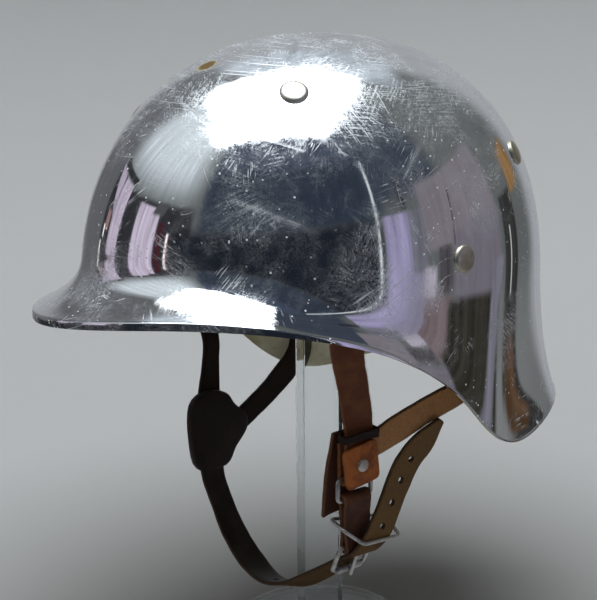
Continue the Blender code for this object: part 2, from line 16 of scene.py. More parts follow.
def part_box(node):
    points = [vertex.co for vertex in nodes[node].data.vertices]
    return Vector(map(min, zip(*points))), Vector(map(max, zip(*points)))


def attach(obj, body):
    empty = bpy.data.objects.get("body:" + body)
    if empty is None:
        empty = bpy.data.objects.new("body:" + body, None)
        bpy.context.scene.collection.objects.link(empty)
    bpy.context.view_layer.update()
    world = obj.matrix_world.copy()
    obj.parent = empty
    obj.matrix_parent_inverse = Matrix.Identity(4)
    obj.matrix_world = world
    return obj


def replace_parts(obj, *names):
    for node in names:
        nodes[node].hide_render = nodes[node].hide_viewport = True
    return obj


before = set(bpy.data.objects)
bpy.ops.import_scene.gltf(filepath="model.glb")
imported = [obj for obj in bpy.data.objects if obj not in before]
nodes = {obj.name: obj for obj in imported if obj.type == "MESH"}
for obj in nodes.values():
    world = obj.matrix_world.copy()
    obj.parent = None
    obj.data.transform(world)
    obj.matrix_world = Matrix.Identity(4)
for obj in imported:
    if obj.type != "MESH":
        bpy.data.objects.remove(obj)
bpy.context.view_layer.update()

MM = 0.001

# %% [markdown]
# ## Sums on sockets
# Shader and geometry nodes both do arithmetic with Math nodes, which are slow to read as a list of links.
# A small class wraps one socket, so that a sum written in Python adds the nodes by itself.

# %% A socket that takes part in sums
class Wire:
    """One output socket that can be added, multiplied and compared in Python."""

    def __init__(self, tree, socket):
        self.tree, self.socket = tree, socket

    def __add__(self, other):
        return maths("ADD", self, other)

    def __radd__(self, other):
        return maths("ADD", other, self)

    def __sub__(self, other):
        return maths("SUBTRACT", self, other)

    def __rsub__(self, other):
        return maths("SUBTRACT", other, self)

    def __mul__(self, other):
        return maths("MULTIPLY", self, other)

    def __rmul__(self, other):
        return maths("MULTIPLY", other, self)

    def __truediv__(self, other):
        return maths("DIVIDE", self, other)

    def __rtruediv__(self, other):
        return maths("DIVIDE", other, self)

    def __pow__(self, other):
        return maths("POWER", self, other)

    def __gt__(self, other):
        return maths("GREATER_THAN", self, other)

    def __lt__(self, other):
        return maths("LESS_THAN", self, other)


def plug(value, socket):
    """Link a wire to a socket, or set the socket to a plain value."""
    if isinstance(value, Wire):
        value.tree.links.new(value.socket, socket)
    else:
        if socket.type == 'RGBA' and len(value) == 3:
            value = (*value, 1.0)
        socket.default_value = value


def maths(operation, *values):
    """One Math node; at least one of the values is a wire."""
    tree = next(value.tree for value in values if isinstance(value, Wire))
    node = tree.nodes.new("ShaderNodeMath")
    node.operation = operation
    for value, socket in zip(values, node.inputs):
        plug(value, socket)
    return Wire(tree, node.outputs[0])


def clamped(value):
    """A wire kept between 0 and 1."""
    return maths("MINIMUM", maths("MAXIMUM", value, 0.0), 1.0)


def ramp(value, low, high):
    """0 below low, 1 above high, and smooth between."""
    t = clamped((value - low) / (high - low))
    return t * t * (3.0 - 2.0 * t)


def twin(wire, name):
    """Another output of the node that a wire comes from."""
    return Wire(wire.tree, wire.socket.node.outputs[name])


class Recipe:
    """A node tree with one method that adds any node."""

    def __init__(self, tree):
        self.tree = tree

    def node(self, kind, settings=None, values=None, out=0):
        """One node of a kind, with its settings, then the values or links of its sockets."""
        made = self.tree.nodes.new(kind)
        for name, value in (settings or {}).items():
            setattr(made, name, value)
        for name, value in (values or {}).items():
            plug(value, made.inputs[name])
        return Wire(self.tree, made.outputs[out])

    def mix(self, share, first, second):
        """Colours mixed by a share; the colour sockets are known by number."""
        return self.node("ShaderNodeMix", {"data_type": 'RGBA'}, {0: share, 6: first, 7: second}, 2)

    def noise(self, where, scale, detail=2.0, roughness=0.5, out="Fac"):
        """Soft noise, from 0 to 1 with most of it near 0.5."""
        return self.node("ShaderNodeTexNoise", None, {
            "Vector": where, "Scale": scale, "Detail": detail, "Roughness": roughness}, out)

    def stretched(self, where, scale, turn=(0, 0, 0)):
        """Coordinates turned, then scaled, so that a pattern lies in streaks."""
        turned = self.node("ShaderNodeVectorRotate", {"rotation_type": 'EULER_XYZ'}, {
            "Vector": where, "Rotation": tuple(math.radians(a) for a in turn)})
        return self.node("ShaderNodeVectorMath", {"operation": 'MULTIPLY'}, {0: turned, 1: scale})

    def parts(self, where):
        """The x, y and z of a vector as three wires."""
        first = self.node("ShaderNodeSeparateXYZ", None, {0: where})
        return [Wire(self.tree, socket) for socket in first.socket.node.outputs]

    def vector(self, x, y, z):
        """Three wires or numbers joined."""
        return self.node("ShaderNodeCombineXYZ", None, {"X": x, "Y": y, "Z": z})


class Finish(Recipe):
    """A material around one Principled shader."""

    def __init__(self, name, **constants):
        self.material = bpy.data.materials.new(name)
        self.material.use_nodes = True
        super().__init__(self.material.node_tree)
        self.shader = self.tree.nodes["Principled BSDF"]
        self.place = self.node("ShaderNodeTexCoord", out="Object")
        for socket, value in constants.items():
            plug(value, self.shader.inputs[socket.replace("_", " ")])

    def feed(self, **values):
        """Feed the shader's sockets; an underscore stands for a space."""
        for socket, value in values.items():
            plug(value, self.shader.inputs[socket.replace("_", " ")])

    def bump(self, height, depth, strength=1.0):
        """Relief of a depth in metres."""
        self.feed(Normal=self.node("ShaderNodeBump", None, {
            "Strength": strength, "Distance": depth, "Height": height}))


print("sums on sockets are ready")

# %% [markdown]
# ## Camera
# The photograph was taken from the helmet's front left, a little above it and close by. The lens and the
# place were worked out from the outline, so that the frame is filled as it is in the photograph.

# %% Set up the camera
CAMERA_PLACE = Vector((0.4564, -0.3511, 0.3267))
CAMERA_RIGHT = Vector((0.59529, 0.80348, -0.00655)).normalized()
CAMERA_UP = Vector((-0.16875, 0.13299, 0.97665)).normalized()
CAMERA_LENS = 65.2

camera_data = bpy.data.cameras.new("camera")
camera_data.lens = CAMERA_LENS
camera_data.sensor_width = 36.0
camera = bpy.data.objects.new("camera", camera_data)
bpy.context.scene.collection.objects.link(camera)
facing_back = CAMERA_RIGHT.cross(CAMERA_UP)
camera.matrix_world = Matrix.Translation(CAMERA_PLACE) @ Matrix(
    (CAMERA_RIGHT, CAMERA_UP, facing_back)).transposed().to_4x4()
camera_data.clip_start = 0.01
bpy.context.scene.camera = camera
print("camera is", round((CAMERA_PLACE - Vector((0, 0, 0.25))).length, 3), "m from the helmet")

# %% [markdown]
# ## The room that the plating mirrors
# A mirror shows only what stands around it. A room could be modelled, but only its reflection is ever seen,
# so the world is painted by direction: a bright panel overhead, a dark room behind the camera, pale curtained
# windows to both sides and a brown door.
# Direction is given as degrees round from the helmet's front and degrees above the horizon.

# %% Paint the room by direction
# The bright panel on a plane at height 1: how far towards the camera and to its right, then its half sizes
OVERHEAD = (0.12, -0.03, 0.43, 0.42)
SKY_LIGHT = (0.93, 0.97, 1.0)
SKY_STRENGTH = 5.0
PANEL_RAGGED = 0.30                         # how uneven the panel's edges are, on that plane
FLOOR_SHADE = (0.28, 0.28, 0.28)
WALL_SHADE = (0.112, 0.120, 0.118)
BACKDROP_SHADE = (0.42, 0.42, 0.41)         # what the camera sees behind the sweep
MATT_DIM_ROOM, MATT_DIM_SKY = 0.30, 0.55    # how much of the room's light matt surfaces don't get

# One row each: degrees round, degrees up, half width, half height, softness, lean, folds, red, green, blue
ROOM_PATCHES = (
    # walls behind and to the left
    (-130, 30, 36, 48, 14, 0, 0.10, 0.36, 0.37, 0.385),
    (-80, 16, 21, 40, 8, 0, 0.15, 0.120, 0.122, 0.130),
    (-142, 64, 44, 13, 10, 0, 0.90, 0.46, 0.51, 0.56),
    (-20, 50, 34, 17, 22, 0, 0.30, 0.66, 0.72, 0.75),
    # window wall with two curtains
    (-20, 8, 38, 18, 3, 0, 0.20, 0.034, 0.034, 0.038),
    (-39.5, 14, 5.8, 12.5, 1.4, 0, 0.45, 0.50, 0.43, 0.52),
    (-46.5, 19, 5.0, 7.5, 1.4, -0.9, 0.45, 0.46, 0.40, 0.49),
    (-44, 28.5, 12, 1.4, 1, 0, 0, 0.030, 0.030, 0.034),
    (-50, 10.5, 2.4, 3.0, 1.6, 0, 0, 0.30, 0.19, 0.19),
    (-53, 6.5, 0.8, 1.8, 0.8, 0, 0, 1.20, 1.15, 1.10),
    (-56, 0, 0.7, 3.2, 0.8, 0, 0, 1.20, 1.15, 1.10),
    (-38, -2, 2.6, 1.6, 0.8, 0, 0.80, 0.40, 0.36, 0.38),
    (-11.8, 12, 8.7, 12, 1.4, 0, 0.45, 0.54, 0.47, 0.57),
    (-3.5, 24, 4.0, 2.6, 2, 0.5, 0, 0.080, 0.080, 0.082),
    (0, 9, 1.8, 10, 1, 0, 0, 0.060, 0.020, 0.026),
    (5, 9.5, 0.6, 5.6, 0.7, 0, 0, 1.30, 1.10, 1.10),
    (-30, -16, 52, 9, 4, 0, 0, 0.022, 0.022, 0.026),
    # dark room behind the camera
    (62, 48, 40, 30, 6, 0, 0.12, 0.052, 0.066, 0.100),
    (61, 30, 39, 14, 8, 0, 0.12, 0.028, 0.038, 0.056),
    (54, -2, 46, 19, 6, 0, 0.15, 0.012, 0.015, 0.021),
    (116, 50, 18, 28, 9, 0, 0.15, 0.045, 0.055, 0.075),
    # right: a thin bright frame, a lilac drape, a door with panels, a mauve wall
    (98.5, 16, 0.45, 25, 0.6, 0, 0.30, 0.75, 0.78, 0.80),
    (106.5, 1, 5.5, 16, 1.4, 0, 0.40, 0.32, 0.29, 0.44),
    (111.2, 24, 1.3, 6, 0.8, 0, 0, 0.030, 0.030, 0.035),
    (115.5, 2, 3.5, 15, 1.0, 0, 0.30, 0.150, 0.150, 0.175),
    (142, 14, 23, 11.5, 2, 0, 0.12, 0.200, 0.178, 0.200),
    (150, -3, 15, 9, 4, 0, 0.12, 0.165, 0.150, 0.178),
    (137, 10.5, 0.45, 8.5, 0.6, 0.1, 0, 0.050, 0.045, 0.050),
    (129, -3.5, 4.2, 6.5, 1.4, 0, 0.40, 0.070, 0.064, 0.070),
    (115.5, -9, 3.7, 6, 1.6, 0, 0.30, 0.24, 0.22, 0.30),
    (120.2, -6, 3.0, 4, 1.0, 0, 0.50, 0.42, 0.38, 0.44),
    (125, -16, 8, 6, 1.0, 0, 0.30, 0.170, 0.127, 0.135),
    (147, -18, 17, 7, 2, 0, 0.50, 0.034, 0.031, 0.024),
    (161, -13, 2.6, 8, 2, 0.4, 0.20, 0.185, 0.178, 0.215),
    (173, -5, 5, 12, 1.6, 0, 0.40, 0.036, 0.034, 0.034),
    (172.5, -6, 0.4, 6, 0.5, 0, 0.30, 0.60, 0.60, 0.58),
    (173, -16.4, 3.0, 2.4, 1.0, 0, 0.60, 0.10, 0.056, 0.030),
    (-175, 9.5, 5, 4.5, 1.2, 0.2, 0.50, 0.24, 0.130, 0.045),
)

world = bpy.data.worlds.new("room")
bpy.context.scene.world = world
world.use_nodes = True
room = Recipe(world.node_tree)
world.node_tree.nodes.clear()

direction = room.node("ShaderNodeTexCoord", out="Generated")
east, north, height = room.parts(direction)
round_degrees = maths("ARCTAN2", east, north * -1.0) * (180 / math.pi)
up_degrees = maths("ARCSINE", height) * (180 / math.pi)
fold_noise = room.noise(room.vector(round_degrees * 0.42, up_degrees * 0.03, 0.0), 1.0, 2.0) * 2.0 - 1.0

colour = room.mix(ramp(up_degrees, -30, -4), FLOOR_SHADE, WALL_SHADE)
for around, up, half_around, half_up, soft, lean_by, folds, *tint in ROOM_PATCHES:
    off_up = up_degrees - float(up)
    middle = off_up * float(lean_by) + float(around) if lean_by else float(around)
    off_round = maths("ABSOLUTE", maths("WRAP", round_degrees - middle, 180.0, -180.0))
    off_up = maths("ABSOLUTE", off_up)
    inside = (1.0 - ramp(off_round, half_around - soft / 2, half_around + soft / 2)) * (
        1.0 - ramp(off_up, half_up - soft / 2, half_up + soft / 2))
    shade = tuple(tint)
    if folds:
        shade = room.node("ShaderNodeVectorMath", {"operation": 'SCALE'}, {
            0: tuple(tint), "Scale": maths("MAXIMUM", fold_noise * (folds * 2.0) + 1.0, 0.2)})
    colour = room.mix(inside, colour, shade)

towards = Vector((CAMERA_PLACE.x, CAMERA_PLACE.y, 0)).normalized()
aside = Vector((CAMERA_RIGHT.x, CAMERA_RIGHT.y, 0)).normalized()
safe_height = maths("MAXIMUM", height, 0.02)
along_view = (east * towards.x + north * towards.y) / safe_height
across_view = (east * aside.x + north * aside.y) / safe_height
centre_a, centre_b, half_a, half_b = OVERHEAD
ragged = (room.noise(direction, 9.0, 4.0, 0.7) - 0.5) * PANEL_RAGGED


def panel_band(place_on, centre_on, half_size):
    """1 inside the panel's half size on one axis, with a soft and ragged edge."""
    return 1.0 - ramp(maths("ABSOLUTE", place_on - centre_on) + ragged, half_size - 0.05, half_size + 0.04)


panel = panel_band(along_view, centre_a, half_a) * panel_band(across_view, centre_b, half_b) * (height > 0.3)

matt = room.node("ShaderNodeLightPath", out="Is Diffuse Ray")
rest = room.node("ShaderNodeBackground", None, {"Color": colour, "Strength": 1.0 - matt * MATT_DIM_ROOM})
lamp = room.node("ShaderNodeBackground", None, {
    "Color": SKY_LIGHT, "Strength": SKY_STRENGTH * (1.0 - matt * MATT_DIM_SKY)})
both = room.node("ShaderNodeMixShader", None, {0: panel, 1: rest, 2: lamp})
plain = room.node("ShaderNodeBackground", None, {"Color": BACKDROP_SHADE, "Strength": 1.0})
seen = room.node("ShaderNodeLightPath", out="Is Camera Ray")
shown = room.node("ShaderNodeMixShader", None, {0: seen, 1: both, 2: plain})
world_out = world.node_tree.nodes.new("ShaderNodeOutputWorld")
plug(shown, world_out.inputs["Surface"])
bpy.context.scene.view_settings.view_transform = 'Standard'
print("room has", len(ROOM_PATCHES), "patches")

# %% [markdown]
# ## Floor and backdrop
# A studio sweep is one sheet that lies flat under the object and curves up behind it, so no horizon shows.
# Here it goes all the way round, because the object is looked at from every side.

# %% Build the sweep
SWEEP_FLOOR = 1.1
SWEEP_BEND = 0.9
SWEEP_WALL = 2.2
SWEEP_DROP = 0.0004                         # a hair below the stand's base
# painted shadow: between these radii the paper's colour goes from dark near the stand to pale, where the
# helmet's shadow falls
SHADOW_WITHIN, PALE_BEYOND = 0.04, 0.42       # the paper darkens towards the stand between these radii


def lathe(name, profile, steps):
    """A surface turned about Z from radius and height pairs, top first."""
    points, faces = [], []
    for radius, height_here in profile:
        for k in range(steps):
            turn = 2 * math.pi * k / steps
            points.append((radius * math.cos(turn), radius * math.sin(turn), height_here))
    for row in range(len(profile) - 1):
        for k in range(steps):
            near, after = row * steps, (k + 1) % steps
            faces.append((near + k, near + after, near + steps + after, near + steps + k))
    mesh = bpy.data.meshes.new(name)
    mesh.from_pydata(points, [], faces)
    work = bmesh.new()
    work.from_mesh(mesh)
    bmesh.ops.remove_doubles(work, verts=work.verts, dist=1e-6)
    bmesh.ops.recalc_face_normals(work, faces=work.faces)
    for face in work.faces:
        face.smooth = True
    work.to_mesh(mesh)
    work.free()
    return mesh


def add(name, mesh, *looks):
    """Link a mesh as an object at the origin with its materials."""
    made = bpy.data.objects.new(name, mesh)
    for look in looks:
        mesh.materials.append(look)
    bpy.context.scene.collection.objects.link(made)
    return made


bend = [
    (SWEEP_FLOOR + SWEEP_BEND * math.sin(math.radians(a)), SWEEP_BEND * (1 - math.cos(math.radians(a))))
    for a in range(0, 91, 6)]
sweep_profile = [(0.0, 0.0), (0.4, 0.0)] + bend + [(SWEEP_FLOOR + SWEEP_BEND, SWEEP_BEND + SWEEP_WALL)]
sweep = add("sweep", lathe("sweep", [(r, z - SWEEP_DROP) for r, z in sweep_profile[::-1]], 96))
paper = Finish("sweep_paper", Roughness=0.9)
paper_x, paper_y, _ = paper.parts(paper.place)
from_stand = maths("SQRT", paper_x * paper_x + paper_y * paper_y)
# painted shadow of the helmet: the paper is coloured darker towards the stand, not shaded by the lamps
pale = paper.mix(ramp(from_stand, SHADOW_WITHIN, PALE_BEYOND), (0.20, 0.197, 0.19), (0.50, 0.50, 0.495))
fleck = paper.noise(paper.place, 900.0, 2.0) * 0.08
paper.feed(Base_Color=paper.mix(fleck, pale, (0.38, 0.38, 0.37)))
sweep.data.materials.append(paper.material)
sweep.visible_shadow = False
sweep.visible_glossy = False
print("sweep radius", SWEEP_FLOOR + SWEEP_BEND)

# %% [markdown]
# ## The plated shell
# Pressed steel has no flat facets, and plating shows every bump in its reflections. A shell could be
# subdivided from a few faces, but small dents between them would show. So the outer face follows a rule: an
# oval plan, a dome that closes in by a power curve, and a flare near the rim. A grid of points carries its
# angle and level as attributes, and a Geometry Nodes tree bends the grid by that rule. The flare at the sides
# starts a little lower than in the measured solids, because their facets round it off.

# %% Name the shell's sizes
SHELL = {
    "Side": 0.1028, "Front": 0.133, "Back": 0.138, "Plan Power": 1.85, "Dome Base": 0.2134,
    "Dome Height": 0.1278, "Dome Power": 2.2, "Flare Power": 3.0,
}
SHELL_THICK = 0.0012
# Rim, one row each: degrees from the front, flare past the dome, height, lip, height of the flare, in mm
RIM = (
    (0, 25.0, 216.0, 3.6, 26.0),
    (30, 18.5, 218.3, 3.6, 25.0),
    (50, 10.0, 211.2, 2.6, 29.0),
    (70, 3.6, 197.8, 2.0, 27.0),
    (90, 0.8, 175.6, 1.4, 26.0),
    (110, 0.3, 142.8, 1.2, 40.0),
    (125, 2.0, 133.0, 1.2, 86.0),
    (150, 12.0, 140.5, 1.2, 112.0),
    (180, 18.0, 140.8, 1.2, 90.0),
)
BRIM_DIP = (8.5, -32, 30)       # the right front sits lower: how much, at which angle, over how many degrees
COLUMNS = 288
RINGS = 110
LIP_RINGS = 5


def rim_table(count):
    """Flare, height, lip and rise at even angles, smoothed so that reflections run on."""
    rows = [(-RIM[1][0], *RIM[1][1:]), *RIM, (360 - RIM[-2][0], *RIM[-2][1:])]
    table = np.zeros((count, 4))
    for k in range(count):
        turn = (k * 360 / count + 180) % 360 - 180
        index = max(j for j in range(1, len(rows) - 2) if rows[j][0] <= abs(turn) + 1e-9)
        a, b, c, d = (np.array(rows[index + j]) for j in (-1, 0, 1, 2))
        span = c[0] - b[0]
        t = (abs(turn) - b[0]) / span
        slope_b, slope_c = (c - a) / (c[0] - a[0]) * span, (d - b) / (d[0] - b[0]) * span
        row = ((2 * t ** 3 - 3 * t ** 2 + 1) * b + (t ** 3 - 2 * t ** 2 + t) * slope_b
               + (3 * t ** 2 - 2 * t ** 3) * c + (t ** 3 - t ** 2) * slope_c)
        table[k] = row[1:]
        drop, centre, spread = BRIM_DIP
        table[k, 1] -= drop * math.exp(-((turn - centre) / spread) ** 2)
    reach = round(12 * count / 360)
    weights = np.exp(-(np.arange(-reach, reach + 1) / (reach / 2.5)) ** 2)
    weights /= weights.sum()
    return sum(w * np.roll(table, j, axis=0) for w, j in zip(weights, range(-reach, reach + 1))) * MM


rim_rows = rim_table(COLUMNS)
print("rim height from", round(rim_rows[:, 1].min(), 4), "to", round(rim_rows[:, 1].max(), 4))

# %% Lay out the grid that carries angle and level
CROWDING = 1.4                  # above 1 the rings crowd together near the rim, where the flare bends
levels = []
for k in range(1, RINGS):
    down = 1 - (1 - k / RINGS) ** CROWDING
    levels.append(math.cos(math.pi / 2 * down) ** (2 / SHELL["Dome Power"]))
levels.append(0.0)
turns, level_of, step_of, column_of = [0.0], [1.0], [0.0], [0]
for level in levels:
    for k in range(COLUMNS):
        turns.append(2 * math.pi * k / COLUMNS)
        level_of.append(level)
        step_of.append(0.0)
        column_of.append(k)
for step in range(1, LIP_RINGS + 1):
    for k in range(COLUMNS):
        turns.append(2 * math.pi * k / COLUMNS)
        level_of.append(0.0)
        step_of.append(step / LIP_RINGS)
        column_of.append(k)
grid_faces = [(0, 1 + k, 1 + (k + 1) % COLUMNS) for k in range(COLUMNS)]
for row in range(RINGS + LIP_RINGS - 1):
    for k in range(COLUMNS):
        here, after = 1 + row * COLUMNS, (k + 1) % COLUMNS
        grid_faces.append((here + k, here + COLUMNS + k, here + COLUMNS + after, here + after))
grid = bpy.data.meshes.new("shell_grid")
grid.from_pydata([(0, 0, 0)] * len(turns), [], grid_faces)
columns = np.array(column_of)
for name, values in (
        ("turn", turns), ("level", level_of), ("lip_step", step_of), ("flare", rim_rows[columns, 0]),
        ("rim", rim_rows[columns, 1]), ("lip", rim_rows[columns, 2]), ("rise", rim_rows[columns, 3])):
    grid.attributes.new(name, 'FLOAT', 'POINT').data.foreach_set("value", np.array(values, dtype=np.float32))
print("grid has", len(turns), "points")


# %% Bend the grid by the shell's rule
def new_tree(name, numbers):
    """A geometry tree with named inputs; gives the tree's recipe, its geometry and its input wires."""
    tree = bpy.data.node_groups.new(name, 'GeometryNodeTree')
    tree.interface.new_socket(name="Geometry", in_out='INPUT', socket_type='NodeSocketGeometry')
    tree.interface.new_socket(name="Geometry", in_out='OUTPUT', socket_type='NodeSocketGeometry')
    for label, value in numbers.items():
        kind = 'NodeSocketFloat' if isinstance(value, float) else (
            'NodeSocketInt' if isinstance(value, int) else (
                'NodeSocketMaterial' if isinstance(value, bpy.types.Material) else 'NodeSocketObject'))
        tree.interface.new_socket(name=label, in_out='INPUT', socket_type=kind)
    entry = tree.nodes.new("NodeGroupInput")
    wires = {socket.name: Wire(tree, socket) for socket in entry.outputs if socket.name}
    return Recipe(tree), wires.pop("Geometry"), wires


def close_tree(recipe, geometry):
    """Send the geometry to the tree's output."""
    leave = recipe.tree.nodes.new("NodeGroupOutput")
    plug(geometry, leave.inputs[0])


def run_tree(name, mesh, recipe, numbers):
    """Apply a tree with its input values and give the plain mesh that it makes."""
    carrier = bpy.data.objects.new(name + "_carrier", mesh)
    bpy.context.scene.collection.objects.link(carrier)
    step = carrier.modifiers.new("tree", 'NODES')
    step.node_group = recipe.tree
    for item in recipe.tree.interface.items_tree:
        if item.in_out == 'INPUT' and item.name in numbers:
            step[item.identifier] = numbers[item.name]
    graph = bpy.context.evaluated_depsgraph_get()
    graph.update()
    made = bpy.data.meshes.new_from_object(carrier.evaluated_get(graph))
    made.name = name
    bpy.data.objects.remove(carrier)
    return made


rule, grid_in, size = new_tree("shell_rule", SHELL)


def carried(recipe, label):
    """A number that each point carries."""
    return recipe.node("GeometryNodeInputNamedAttribute", {"data_type": 'FLOAT'}, {"Name": label})


turn, level = carried(rule, "turn"), carried(rule, "level")
flare, rim_z, lip, rise = (carried(rule, label) for label in ("flare", "rim", "lip", "rise"))
step = carried(rule, "lip_step")
sine, cosine = maths("SINE", turn), maths("COSINE", turn)
depth = size["Front"] * (cosine > 0.0) + size["Back"] * (1.0 - (cosine > 0.0))
plan = ((maths("ABSOLUTE", sine) / size["Side"]) ** size["Plan Power"]
        + (maths("ABSOLUTE", cosine) / depth) ** size["Plan Power"]) ** (-1.0 / size["Plan Power"])
z = rim_z + (size["Dome Base"] + size["Dome Height"] - rim_z) * level
closing = clamped((z - size["Dome Base"]) / size["Dome Height"])
wall = plan * maths("MAXIMUM", 1.0 - closing ** size["Dome Power"], 0.0) ** (1.0 / size["Dome Power"])
share = clamped(1.0 - (z - rim_z) / rise)
radius = wall + flare * share ** size["Flare Power"] + (1.0 - (1.0 - step) ** 2.0) * 0.0006
position = rule.vector(radius * sine, radius * cosine * -1.0, z - lip * step ** 2.0)
bent = rule.node("GeometryNodeSetPosition", None, {"Geometry": grid_in, "Position": position})
close_tree(rule, bent)
skin = run_tree("shell_skin", grid, rule, SHELL)
for polygon in skin.polygons:
    polygon.use_smooth = True
skin_low = min(vertex.co.z for vertex in skin.vertices)
print("skin lowest point", round(skin_low, 4), "faces", len(skin.polygons))

# %% [markdown]
# ## Plating, scratches and haze
# Bright plating is a mirror with a history. Hairline scratches scatter the light across a wider cone, so they
# look pale over the dark room. One stretched noise would run all of them the same way, as on brushed metal.
# So they lie in patches, each with its own direction, and a few deep ones have their own places. Fine dots make
# the pits, broad clouds make the haze where the crown was handled, and one spot has lost its plating and
# rusted. All of it feeds roughness, metal, colour and a bump.

# %% Make the plating
plating = Finish("plating", Metallic=1.0)
here = plating.place
px, py, pz = plating.parts(here)
around = maths("ARCTAN2", px, py * -1.0) * 0.1
wrapped = plating.vector(around, pz, maths("MULTIPLY", px, 0.1))


def arrows(finish, operation, first, second=None, out=0):
    """One Vector Math node."""
    values = {0: first} if second is None else {0: first, 1: second}
    return finish.node("ShaderNodeVectorMath", {"operation": operation}, values, out)


DOME_MIDDLE = (0.0, 0.0, 0.21)
outward_of = arrows(plating, "NORMALIZE", arrows(plating, "SUBTRACT", here, DOME_MIDDLE))
breakup = plating.noise(here, 60.0, 3.0, 0.6)


def scuffs(cells, fine, stretch, low, share_of, seed, fade):
    """Patches of parallel scratches: each Voronoi cell has its own direction along the wall.

    cells is how many patches lie in a metre, fine how many scratches, stretch how long they are for
    their width, low the noise they start from, share_of how many patches have any, fade their reach.
    """
    shift = (seed * 0.731, seed * 0.377, seed * 0.913)
    pick = plating.node("ShaderNodeTexVoronoi", None, {
        "Scale": cells, "Vector": arrows(plating, "ADD", here, shift)}, "Color")
    centre = arrows(plating, "SUBTRACT", twin(pick, "Position"), shift)
    lengthwise = arrows(plating, "NORMALIZE", arrows(
        plating, "CROSS_PRODUCT", outward_of, arrows(plating, "SUBTRACT", pick, (0.5, 0.5, 0.5))))
    crosswise = arrows(plating, "CROSS_PRODUCT", outward_of, lengthwise)
    offset = arrows(plating, "SUBTRACT", here, centre)
    red, green, _ = plating.parts(pick)
    streak = plating.noise(plating.vector(
        arrows(plating, "DOT_PRODUCT", offset, crosswise, "Value") * fine,
        arrows(plating, "DOT_PRODUCT", offset, lengthwise, "Value") * (fine / stretch), red * 60.0), 1.0, 1.0)
    spread = 1.0 - ramp(twin(pick, "Distance"), fade - 0.35, fade)
    return ramp(streak, low, low + 0.08) * spread * (green > 1.0 - share_of) * ramp(breakup, 0.36, 0.50)


def layered(rows):
    """The strongest of several layers of scuffs at each point."""
    layers = [scuffs(*row) for row in rows]
    most = layers[0]
    for layer in layers[1:]:
        most = maths("MAXIMUM", most, layer)
    return most


# One row each: cells, fine, stretch, low, share, seed, fade
SCRATCHES = (
    (14.0, 1100.0, 60.0, 0.69, 0.50, 1, 0.75),
    (26.0, 1400.0, 34.0, 0.63, 0.65, 2, 0.62),
    (44.0, 1700.0, 22.0, 0.60, 0.65, 3, 0.60),
    (80.0, 1900.0, 13.0, 0.59, 0.50, 4, 0.58),
)
FROSTING = (
    (38.0, 1700.0, 22.0, 0.53, 0.9, 6, 0.90),
    (52.0, 1900.0, 18.0, 0.53, 0.9, 7, 0.90),
)
CROWN_FROM, CROWN_FULL = 0.275, 0.325

lines = layered(SCRATCHES)
lines = lines * (0.25 + ramp(plating.noise(here, 90.0, 2.0), 0.42, 0.60) * 0.75)

crown = ramp(pz, CROWN_FROM, CROWN_FULL)
arcs = plating.noise(plating.stretched(wrapped, (14.0, 2300.0, 14.0), (0, 0, 3)), 1.0, 0.0)
lines = maths("MAXIMUM", lines, ramp(arcs, 0.60, 0.74) * ramp(breakup, 0.44, 0.58) * crown * 0.8)
frost = layered(FROSTING)
cloud = plating.noise(here, 19.0, 6.0, 0.66)
grain = plating.noise(here, 950.0, 3.0, 0.7)
haze = ramp(cloud + crown * 0.16, 0.43, 0.68) * (0.08 + ramp(grain, 0.42, 0.60) * 0.55 + frost * 0.65)

dot_distance = plating.node("ShaderNodeTexVoronoi", None, {"Scale": 300.0, "Vector": here}, "Distance")
pick_red, pick_green, _ = plating.parts(twin(dot_distance, "Color"))
pits = (1.0 - ramp(dot_distance, 0.11, 0.17)) * (pick_red > 0.30) * ramp(pick_green, 0.0, 0.7)
pits = pits * ramp(plating.noise(here, 16.0, 1.0), 0.36, 0.52)

# One row each: middle, direction across the scratch, half length, half width, strength
DEEP_SCRATCHES = (
    ((0.0712, -0.0800, 0.2608), (0.0, 0.449, 0.894), 0.024, 0.0017, 0.34),
    ((0.0718, -0.0185, 0.3078), (0.073, 0.987, 0.141), 0.009, 0.0004, 0.90),
    ((0.0684, -0.0864, 0.2564), (-0.598, -0.548, 0.584), 0.007, 0.0003, 0.90),
    ((0.0884, -0.0142, 0.2825), (-0.368, -0.713, 0.598), 0.011, 0.0016, 0.35),
    ((0.0640, -0.0687, 0.2905), (-0.217, 0.537, 0.815), 0.012, 0.0008, 0.50),
)
for middle, across_it, half_long, half_wide, strength in DEEP_SCRATCHES:
    from_middle = arrows(plating, "SUBTRACT", here, middle)
    across_it = Vector(across_it).normalized()
    off_line = maths("ABSOLUTE", arrows(plating, "DOT_PRODUCT", from_middle, across_it, "Value"))
    far_off = arrows(plating, "LENGTH", from_middle, None, "Value")
    rough_edge = (grain - 0.5) * half_wide * 3.0
    mark = (1.0 - ramp(off_line + rough_edge, half_wide * 0.4, half_wide)) * (
        1.0 - ramp(far_off, half_long * 0.6, half_long))
    lines = maths("MAXIMUM", lines, mark * strength * (0.4 + ramp(breakup, 0.35, 0.55) * 0.6))

worn = clamped(lines * 0.9 + haze * 0.6 + pits)
steel = plating.mix(clamped(haze + lines * 0.5), (0.84, 0.86, 0.89), (0.80, 0.84, 0.87))
steel = plating.mix(pits, steel, (0.75, 0.78, 0.80))

